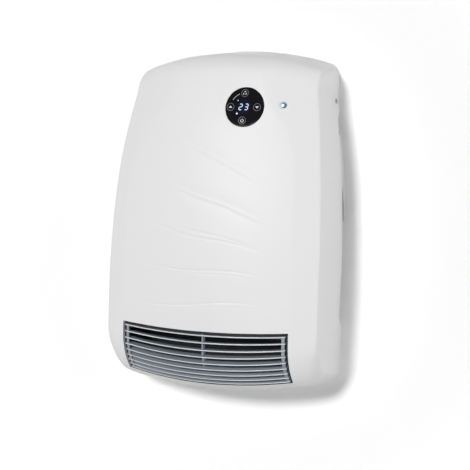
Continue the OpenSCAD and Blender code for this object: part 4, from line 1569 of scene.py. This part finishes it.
@dataclass
class Display:
    """Round touch display: domed lens, lit digits and four touch keys.

    Its marks reach from ``sunk`` under the lens's face to ``proud`` over it.
    """

    skin: Skin
    place: Pair = DISPLAY_AT
    radius: float = 22.5
    lens_t: float = 2.4
    crown: float = 0.28
    fall: float = 0.1
    flat_r: float = 22.0
    rim: tuple[Pair, ...] = ((22.25, 0.06), (22.42, 0.18), (22.5, 0.45))
    ring_step: float = 2.4
    sides: int = 96
    crease: float = 50.0
    sunk: float = 0.05
    proud: float = 0.02
    digit_w: float = 3.3
    digit_h: float = 6.6
    digit_weight: float = 0.85
    digit_lean: float = 0.11
    digit_gap: float = 0.28
    key_r: float = 4.1
    key_line: float = 0.34
    dash_r: float = 16.4

    def height(self, x: float, y: float) -> float:
        """Returns the height of the lens's face over the cover's surface."""
        return self.crown - self.fall * (x * x + y * y) / self.radius**2

    def lens(self, finish: bpy.types.Material) -> None:
        """Makes the black lens with a rounded rim and a slight dome.

        Args:
            finish: Its material.
        """
        reach = [i * self.ring_step for i in range(10)]
        edge = self.height(reach[-1], 0.0)
        profile = [(r, self.height(r, 0.0)) for r in [*reach, self.flat_r]]
        profile += [(r, edge - fall) for r, fall in self.rim]
        profile.append((self.radius, -self.lens_t))
        mesh = turned("lens", profile, self.sides, self.skin.stand(*self.place))
        lens = piece("display_lens", softened(mesh, self.crease), "lens_black", finish)
        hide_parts("touch_lens")

    def marks(
        self,
        name: str,
        finish: bpy.types.Material,
        shapes: Iterable[Sequence[Pair]] = (),
        bands: Iterable[Band] = (),
    ) -> None:
        """Makes flat marks that lie on the lens.

        Args:
            name: The piece's name.
            finish: Their material.
            shapes: Closed outlines in millimetres on the lens.
            bands: Arcs and rings on the lens.
        """
        stand = self.skin.stand(*self.place)
        low, high = -self.sunk, self.proud
        work = bmesh.new()

        def spot(at: Pair, over: float) -> bmesh.types.BMVert:
            """Adds a vertex at a place on the lens, over its face."""
            return work.verts.new(stand @ (Vector((*at, self.height(*at) + over)) * MM))

        for band in bands:
            rings = []
            for outer, inner in band.pairs():
                corners = ((outer, low), (outer, high), (inner, high), (inner, low))
                rings.append([spot(*corner) for corner in corners])
            loft(work, rings, band.closed)
        for outline in shapes:
            loft(work, [[spot(at, over) for at in outline] for over in (low, high)])
        piece(name, outward(work, name), "lamp_clear", finish)

    @staticmethod
    def stroke(a: Pair, b: Pair, width: float) -> list[Pair]:
        """Draws a straight stroke with pointed ends.

        Args:
            a: One end.
            b: The other end.
            width: Its width.

        Returns:
            Its outline.
        """
        length = math.dist(a, b)
        ux, uy = (b[0] - a[0]) / length, (b[1] - a[1]) / length
        h = width / 2
        return [
            a,
            (a[0] + ux * h - uy * h, a[1] + uy * h + ux * h),
            (b[0] - ux * h - uy * h, b[1] - uy * h + ux * h),
            b,
            (b[0] - ux * h + uy * h, b[1] - uy * h - ux * h),
            (a[0] + ux * h + uy * h, a[1] + uy * h - ux * h),
        ]

    @staticmethod
    def disc(centre: Pair, radius: float, count: int = 14) -> list[Pair]:
        """Returns a round dot's outline."""
        return [on_arc(centre, radius, 2 * math.pi * i / count) for i in range(count)]

    def digit(self, figure: str, centre: Pair) -> list[list[Pair]]:
        """Returns the outlines of the strokes of one digit.

        Args:
            figure: The digit to show.
            centre: Its centre on the lens.

        Returns:
            Outlines that lean a little to the right.
        """
        strokes: list[list[Pair]] = []
        gap = self.digit_weight * self.digit_gap
        for segment in DIGITS[figure]:
            across, up, upright = segment.value
            x, y = centre[0] + across * self.digit_w, centre[1] + up * self.digit_h / 2
            dx = 0.0 if upright else self.digit_w / 2 - gap
            dy = self.digit_h / 4 - gap if upright else 0.0
            strokes.append(self.stroke((x - dx, y - dy), (x + dx, y + dy), self.digit_weight))
        return [[(x + self.digit_lean * (y - centre[1]), y) for x, y in outline] for outline in strokes]

    def key_signs(self) -> tuple[list[Sequence[Pair]], list[Band]]:
        """Draws the signs inside the keys: a fan, up, down and power.

        Returns:
            Their outlines and their bands.
        """
        shapes: list[Sequence[Pair]] = []
        for key, way in ((Key.UP, 1), (Key.DOWN, -1)):
            cx, cy = key.value
            foot, tip = cy - 0.9 * way, cy + 1.5 * way
            shapes.append([(cx - 2.0, foot), (cx, tip), (cx + 2.0, foot)])
        bands = []
        for turn in (0, 120, 240):
            hub = on_arc(Key.FAN.value, 1.15, math.radians(turn + 90))
            bands.append(Band(hub, 0.75, 0.75, turn - 10, turn + 170, 8))
        cx, cy = Key.POWER.value
        bands.append(Band((cx, cy - 0.3), 1.6, 0.6, 128, 412, 20))
        shapes.append(self.stroke((cx, cy + 0.2), (cx, cy + 2.2), 0.6))
        return shapes, bands

    def build(self, colours: dict[str, bpy.types.Material]) -> None:
        """Makes the lens and everything that shines through it.

        Args:
            colours: Finish name to material.
        """
        self.lens(colours["lens_black"])
        figures = self.digit("2", (-4.5, 0.0)) + self.digit("3", (2.3, 0.1))
        figures.append(self.disc((-8.2, -7.6), 1.0))
        self.marks("display_digits", colours["digit_glow"], shapes=figures)
        rings = [Band(key.value, self.key_r, self.key_line) for key in Key]
        self.marks("display_rings", colours["ring_glow"], bands=rings)
        signs, bands = self.key_signs()
        signs.append(self.disc((-8.3, 7.4), 0.7))
        dashes = range(116, 147, 6)
        bands += [Band((0.0, 0.0), self.dash_r, 0.55, start, start + 4.6, 3) for start in dashes]
        self.marks("display_signs", colours["key_glow"], signs, bands)


@dataclass
class Lamp:
    """The small round indicator right of the display, sunk a little into the cover."""

    skin: Skin
    place: Pair = LAMP_AT
    radius: float = 3.1
    top_r: float = 2.6
    sunk: float = 0.7
    length: float = 8.0
    face_r: float = 2.05
    face_at: Pair = (-0.75, -0.45)

    def build(self, rim: bpy.types.Material, glow: bpy.types.Material) -> None:
        """Makes the light guide with its lit face, which sits off its middle.

        Args:
            rim: Material of the guide.
            glow: Material of the lit face.
        """
        stand, sides = self.skin.stand(*self.place), 40
        top, end, r = -self.sunk, -self.length, self.face_r
        tube = [(0.0, top), (self.top_r, top), (self.radius, top - 0.3), (self.radius, end), (0.0, end)]
        guide = piece("indicator_guide", turned("guide", tube, sides, stand), "lamp_clear", rim)
        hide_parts("indicator_lens")
        dome = [(0.0, top + 0.12), (1.5, top + 0.1), (r, top - 0.05), (r, top - 0.4), (0.0, top - 0.4)]
        piece("indicator_face", turned("face", dome, sides, stand, self.face_at), "lamp_clear", glow)


# ------------------------------------------------------------------ the screws


@dataclass(frozen=True)
class ScrewKind:
    """A pan-head screw with a cross recess, pointing along +Z from its head's underside."""

    head_r: float = 3.0
    head_h: float = 1.6
    shank_r: float = 1.5
    length: float = 17.0
    tip: float = 0.6
    recess: float = 0.46

    def mesh(self) -> bpy.types.Mesh:
        """Makes the screw, with its head on the -Z side and a cross cut into it.

        Returns:
            Its mesh.
        """
        top, r = -self.head_h, self.head_r
        profile = [
            (0.0, top),
            (r * 0.7, top),
            (r * 0.92, top * 0.82),
            (r, top * 0.5),
            (r, 0.0),
            (self.shank_r, 0.0),
            (self.shank_r, self.length - self.tip),
            (self.shank_r * 0.6, self.length),
            (0.0, self.length),
        ]
        return cut_by(linked("screw", turned("screw", profile, 32)), [linked("cross", self.cross())])

    def cross(self) -> bpy.types.Mesh:
        """Makes the solid that cuts the cross recess.

        Returns:
            Its mesh.
        """
        long, short = self.head_r * 0.57, self.head_r * 0.12
        arm = [(short, short), (short, long), (-short, long)]
        outline: list[Pair] = []
        for _ in range(4):
            outline += arm
            arm = [(-y, x) for x, y in arm]
        work = bmesh.new()
        levels = (-1.55 * self.head_h, -self.recess * self.head_h)
        loft(work, [[work.verts.new(Vector((x, y, z)) * MM) for x, y in outline] for z in levels])
        return outward(work, "cross")


@dataclass
class ScrewSet:
    """Screws of one kind at several places, instanced by Geometry Nodes."""

    name: str
    node: str
    kind: ScrewKind
    places: Sequence[tuple[Vector, Vector]]

    def tree(self, screw: bpy.types.Object, finish: bpy.types.Material) -> bpy.types.GeometryNodeTree:
        """Returns the tree that puts one screw on every point.

        Args:
            screw: The screw to repeat.
            finish: Its material.

        Returns:
            The tree, with the places and the screw as named inputs.
        """
        graph = GeometryGraph(self.name)
        places = graph.entry("Places", "Geometry")
        fetched = graph.node("GeometryNodeObjectInfo", Object=graph.entry("Screw", "Object", screw))
        fetched.inputs["As Instance"].default_value = True
        one = Signal(graph, fetched.outputs["Geometry"])
        inward = graph.stored("inward")
        aim = graph.node("FunctionNodeAlignRotationToVector", {"axis": "Z"}, Vector=inward)
        put = graph.node("GeometryNodeInstanceOnPoints", Points=places, Instance=one, Rotation=aim)
        return graph.finished(put, finish)

    def build(self, finish: bpy.types.Material) -> bpy.types.Object:
        """Makes the set as one piece.

        Args:
            finish: The screws' material.

        Returns:
            The finished piece.
        """
        screw = linked("one_screw", self.kind.mesh())
        spots, ways = zip(*self.places)
        holder = aimed_points("spots", spots, [], "inward", ways)
        holder.modifiers.new("screws", "NODES").node_group = self.tree(screw, finish)
        mesh = settled(holder)
        for used in (holder, screw):
            bpy.data.objects.remove(used)
        made = piece(self.name, mesh, "screw_steel", finish)
        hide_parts(self.node)
        return made


def screw_sets(skin: Skin) -> list[ScrewSet]:
    """Lists the screws that close the cover from behind and at its sides.

    Args:
        skin: The cover's outer surface.

    Returns:
        The two sets.
    """
    sunk, seated = 1.7, 1.2
    corners = [(side * x, height) for x, height in ((116, 60), (84, 326)) for side in (-1, 1)]
    back = [(metres(x, sunk, height), Vector((0, -1, 0))) for x, height in corners]
    half = skin.side_at(SIDE_SCREW_AT[1]) - seated
    sides = [(metres(side * half, *SIDE_SCREW_AT), Vector((-side, 0, 0))) for side in (1, -1)]
    return [
        ScrewSet("cover_screw_set", "cover_screws", ScrewKind(), back),
        ScrewSet("side_screw_set", "side_screws", ScrewKind(head_h=1.0, length=10.0), sides),
    ]


# ------------------------------------------------------------- the carried CAD


@dataclass
class CarriedParts:
    """Finishes of the CAD nodes that show as they are."""

    finishes: dict[str, tuple[str, ...]] = field(
        default_factory=lambda: {
            "cover_white": ("front_shell",),
            "grille_grey": ("outlet_grille",),
            "lens_black": ("touch_lens",),
            "lamp_rim": ("indicator_lens",),
            "housing_white": ("rear_housing", "terminal_block", "cord_clamp", "display_holder"),
            "plate_steel": ("wall_plate",),
            "filter_mesh": ("intake_screens",),
            "duct_grey": ("scroll_wall", "tongue_guide", "duct_cheeks"),
            "zinc_steel": ("fan_end_plate_left", "fan_end_plate_right", "motor_brackets"),
            "impeller_alu": ("fan_impeller",),
            "shaft_steel": ("fan_pivot", "motor_shaft", "key_springs"),
            "bronze": ("pivot_bush", "motor_bearings"),
            "black_rubber": ("bush_mount", "cable_grommet"),
            "laminated_steel": ("motor_core", "motor_rotor"),
            "copper_winding": ("motor_coil",),
            "screw_steel": (
                "motor_screws",
                "cover_screws",
                "side_screws",
                "board_screws",
                "end_plate_screws",
            ),
            "fin_alu": ("element_fins",),
            "black_plastic": ("element_frame", "thermal_cutout", "power_supply", "digit_module"),
            "terminal_brass": ("element_terminals",),
            "board_green": ("control_board", "display_board"),
            "relay_blue": ("relays",),
            "capacitor_yellow": ("suppression_capacitor",),
        }
    )

    def dress(self, palette: dict[str, bpy.types.Material]) -> None:
        """Gives each CAD node its finish.

        Args:
            palette: Finish name to material.
        """
        for finish, nodes in self.finishes.items():
            for node in nodes:
                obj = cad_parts[node]
                if not obj.material_slots:
                    obj.data.materials.append(None)
                for entry in obj.material_slots:
                    entry.material = palette[finish]
                log.info("node %s: %s", node, finish)


# ------------------------------------------------------------------ the studio


@dataclass
class Studio:
    """Wall, floor, lamps, world and the camera of the photograph's view.

    The camera's ``distance`` and ``middle`` are in millimetres, the rest in metres.
    """

    turn: float = 25.0
    distance: float = 1500.0
    focal_px: float = 1278.7
    image_px: float = 470.0
    roll: float = 2.73
    middle: Pair = (-4.35, 174.3)
    sensor: float = 36.0
    clip: Pair = (0.05, 30.0)
    wall_gap: float = 0.0006
    side: float = 3.0
    near: float = 4.0
    ground: float = -1.4
    ceiling: float = 2.6
    wall_glow: float = 0.25
    floor_glow: float = 0.5
    glow_reach: Pair = (0.25, 0.6)
    lit_tone: float = 0.5
    seen_tone: float = 1.24
    surround: float = 0.035
    lamps: tuple[tuple[str, Triple, Triple, float, float], ...] = (
        ("key", (-0.79, -3.18, 0.86), (0.0, 0.0, -0.03), 0.84, 68.5),
        ("side", (1.9, -0.1, -0.05), (0.13, -0.06, 0.0), 0.16, 12.6),
        ("low", (-0.1, -2.2, -1.05), (0.0, -0.05, 0.0), 1.1, 6.2),
        ("top", (1.0, -0.15, 1.5), (0.05, -0.06, 0.18), 0.24, 2.8),
        ("rear", (0.0, 2.0, 0.7), (0.0, 0.0, 0.0), 0.24, 20.0),
    )

    def camera(self) -> None:
        """Puts the camera at the photograph's angle and makes it the scene's."""
        turn, roll = math.radians(self.turn), math.radians(self.roll)
        away = Vector((-math.sin(turn), math.cos(turn), 0.0))
        right0, up0 = Vector((math.cos(turn), math.sin(turn), 0.0)), Vector((0.0, 0.0, 1.0))
        right = right0 * math.cos(roll) + up0 * math.sin(roll)
        up = up0 * math.cos(roll) - right0 * math.sin(roll)
        spot = metres(0.0, 0.0, self.middle[1]) + (right0 * self.middle[0] - away * self.distance) * MM
        data = bpy.data.cameras.new("camera")
        data.sensor_width = self.sensor
        data.lens = self.focal_px * self.sensor / self.image_px
        data.clip_start, data.clip_end = self.clip
        obj = linked("camera", data)
        facing = Matrix((right, up, -away)).transposed().to_4x4()
        obj.matrix_world = Matrix.Translation(spot) @ facing
        bpy.context.scene.camera = obj

    def lamp(self, name: str, spot: Triple, aim: Triple, size: float, power: float) -> None:
        """Adds one soft round lamp.

        Args:
            name: Its name.
            spot: Where it hangs, in metres.
            aim: The point that it faces.
            size: Its diameter.
            power: Its power in watts.
        """
        data = bpy.data.lights.new(name, "AREA")
        data.shape = "DISK"
        data.size = size
        data.energy = power
        obj = linked(name, data)
        obj.location = spot
        obj.rotation_euler = (Vector(aim) - Vector(spot)).to_track_quat("-Z", "Y").to_euler()

    def backdrop(self, name: str, corners: Sequence[Triple], glow: float) -> None:
        """Adds a pale sheet that stays clear from behind and lets the lamps through.

        Args:
            name: Its name.
            corners: Its corners, counter-clockwise as seen from the object.
            glow: Extra white, away from the object, for what sees it directly.
        """
        obj = linked(name, mesh_from(name, corners, [range(len(corners))]))
        shader = Shader(name)
        shader.tree.nodes.remove(shader.principled)
        seen = shader.seen()
        far = shader.distance().clamped(*self.glow_reach)
        tone = shader.blend(seen, (self.lit_tone,) * 3, (self.seen_tone,) * 3)
        matt = shader.node("ShaderNodeBsdfDiffuse", Color=tone)
        light = shader.node("ShaderNodeEmission", Color=WHITE, Strength=seen * (glow * far))
        both = shader.node("ShaderNodeAddShader", None, matt, light)
        clear = shader.node("ShaderNodeBsdfTransparent")
        behind = Signal(shader, shader.node("ShaderNodeNewGeometry").outputs["Backfacing"])
        open_to = (behind + shader.ray("Shadow")).clamped(0.0, 1.0)
        mix = shader.node("ShaderNodeMixShader", None, open_to, both, clear)
        shader.feed(shader.output.inputs["Surface"], mix)
        obj.data.materials.append(shader.material)

    def world(self) -> None:
        """Sets an even pale surround that the camera sees as white."""
        world = bpy.data.worlds.new("studio")
        world.use_nodes = True
        graph = Graph(world.node_tree)
        graph.tree.nodes.clear()
        levels = (self.surround, 1.0)
        grounds = [graph.node("ShaderNodeBackground", Color=WHITE, Strength=level) for level in levels]
        mix = graph.node("ShaderNodeMixShader", None, graph.seen(), *grounds)
        graph.node("ShaderNodeOutputWorld", Surface=mix)
        bpy.context.scene.world = world

    def build(self) -> None:
        """Makes the whole studio."""
        self.camera()
        x, y, front, low, high = self.side, self.wall_gap, -self.near, self.ground, self.ceiling
        wall = [(-x, y, low), (x, y, low), (x, y, high), (-x, y, high)]
        self.backdrop("back_wall", wall, self.wall_glow)
        floor = [(-x, y, low), (-x, front, low), (x, front, low), (x, y, low)]
        self.backdrop("floor", floor, self.floor_glow)
        for lamp in self.lamps:
            self.lamp(*lamp)
        self.world()
        bpy.context.scene.view_settings.view_transform = "Standard"


def palette(skin: Skin) -> dict[str, bpy.types.Material]:
    """Builds every finish of the heater.

    Args:
        skin: The cover's outer surface, which places the painted glows round the indicator and the
            digits.

    Returns:
        Finish name to material.
    """
    # centres of the painted glows round the indicator and round the digits
    lamp = tuple(skin.stand(*LAMP_AT).translation)
    digits = tuple(skin.stand(*DIGITS_AT).translation)
    along, across, drawn, even, fine = (4, 40, 40), (40, 4, 40), (4, 60, 60), (60, 60, 60), 900.0
    finishes = [
        # the third colour is the indicator's glow, painted into the cover's colour near it
        CoverPlastic("cover_white", (0.91, 0.91, 0.91), (0.62, 0.8, 1.0), lamp),
        Moulded("housing_white", (0.8, 0.8, 0.8), 0.45, 0.00003),
        Moulded("grille_grey", (0.3, 0.34, 0.385), 0.3, 0.00001, fine, 0.2),
        # painted highlight: the lighter colour of the blades' front edges
        Moulded("grille_edge_highlight", (0.74, 0.77, 0.8), 0.28, 0.00001, fine, 0.3),
        # painted shade: the sunk frame is near black to stand in for shade at the outlet's edges
        Moulded("grille_frame_shade", (0.008, 0.009, 0.01), 0.6, 0.00002),
        SheetMetal("duct_grey", (0.035, 0.037, 0.04), 0.55, along, 0.3),
        SheetMetal("plate_steel", (0.62, 0.63, 0.65), 0.38),
        Woven("filter_mesh", (0.06, 0.062, 0.065)),
        SheetMetal("zinc_steel", (0.6, 0.61, 0.63), 0.35, across),
        SheetMetal("impeller_alu", (0.5, 0.52, 0.55), 0.3, drawn),
        SheetMetal("shaft_steel", (0.7, 0.71, 0.73), 0.2, even),
        SheetMetal("bronze", (0.55, 0.38, 0.18), 0.4, even),
        Moulded("black_rubber", (0.025, 0.025, 0.026), 0.75, 0.00005, 600.0),
        Laminated("laminated_steel", (0.35, 0.36, 0.38)),
        WoundWire("copper_winding", (0.6, 0.25, 0.1)),
        SheetMetal("screw_steel", (0.6, 0.6, 0.62), 0.3, even),
        SheetMetal("fin_alu", (0.6, 0.61, 0.62), 0.35, along),
        Moulded("black_plastic", (0.03, 0.03, 0.032), 0.5, 0.00003),
        SheetMetal("terminal_brass", (0.7, 0.52, 0.2), 0.3, along),
        SolderMask("board_green", (0.01, 0.12, 0.05)),
        Moulded("relay_blue", (0.03, 0.12, 0.35), 0.4, 0.00002),
        Moulded("capacitor_yellow", (0.6, 0.42, 0.04), 0.4, 0.00002),
        DarkLens("lens_black", (0.004, 0.004, 0.006), digits),
        Moulded("lamp_rim", (0.1, 0.14, 0.26), 0.25, 0.000005, fine, 0.3),
        Glow("digit_glow", (0.6, 0.74, 1.0), 1.25),
        Glow("ring_glow", (0.5, 0.52, 0.56), 0.16),
        Glow("key_glow", (0.7, 0.72, 0.76), 0.8),
        Glow("lamp_glow", (0.8, 0.9, 1.0), 1.15),
    ]
    return {finish.name: finish.build() for finish in finishes}


def main() -> None:
    """Builds the heater's looks in order."""
    skin = Skin()
    colours = palette(skin)
    Studio().build()
    Cover(skin).build(colours["cover_white"])
    Grille(skin).build(colours["grille_grey"], colours["grille_frame_shade"], colours["grille_edge_highlight"])
    Display(skin).build(colours)
    Lamp(skin).build(colours["lamp_rim"], colours["lamp_glow"])
    for screws in screw_sets(skin):
        screws.build(colours["screw_steel"])
    CarriedParts().dress(colours)


if __name__ == "__main__":
    main()
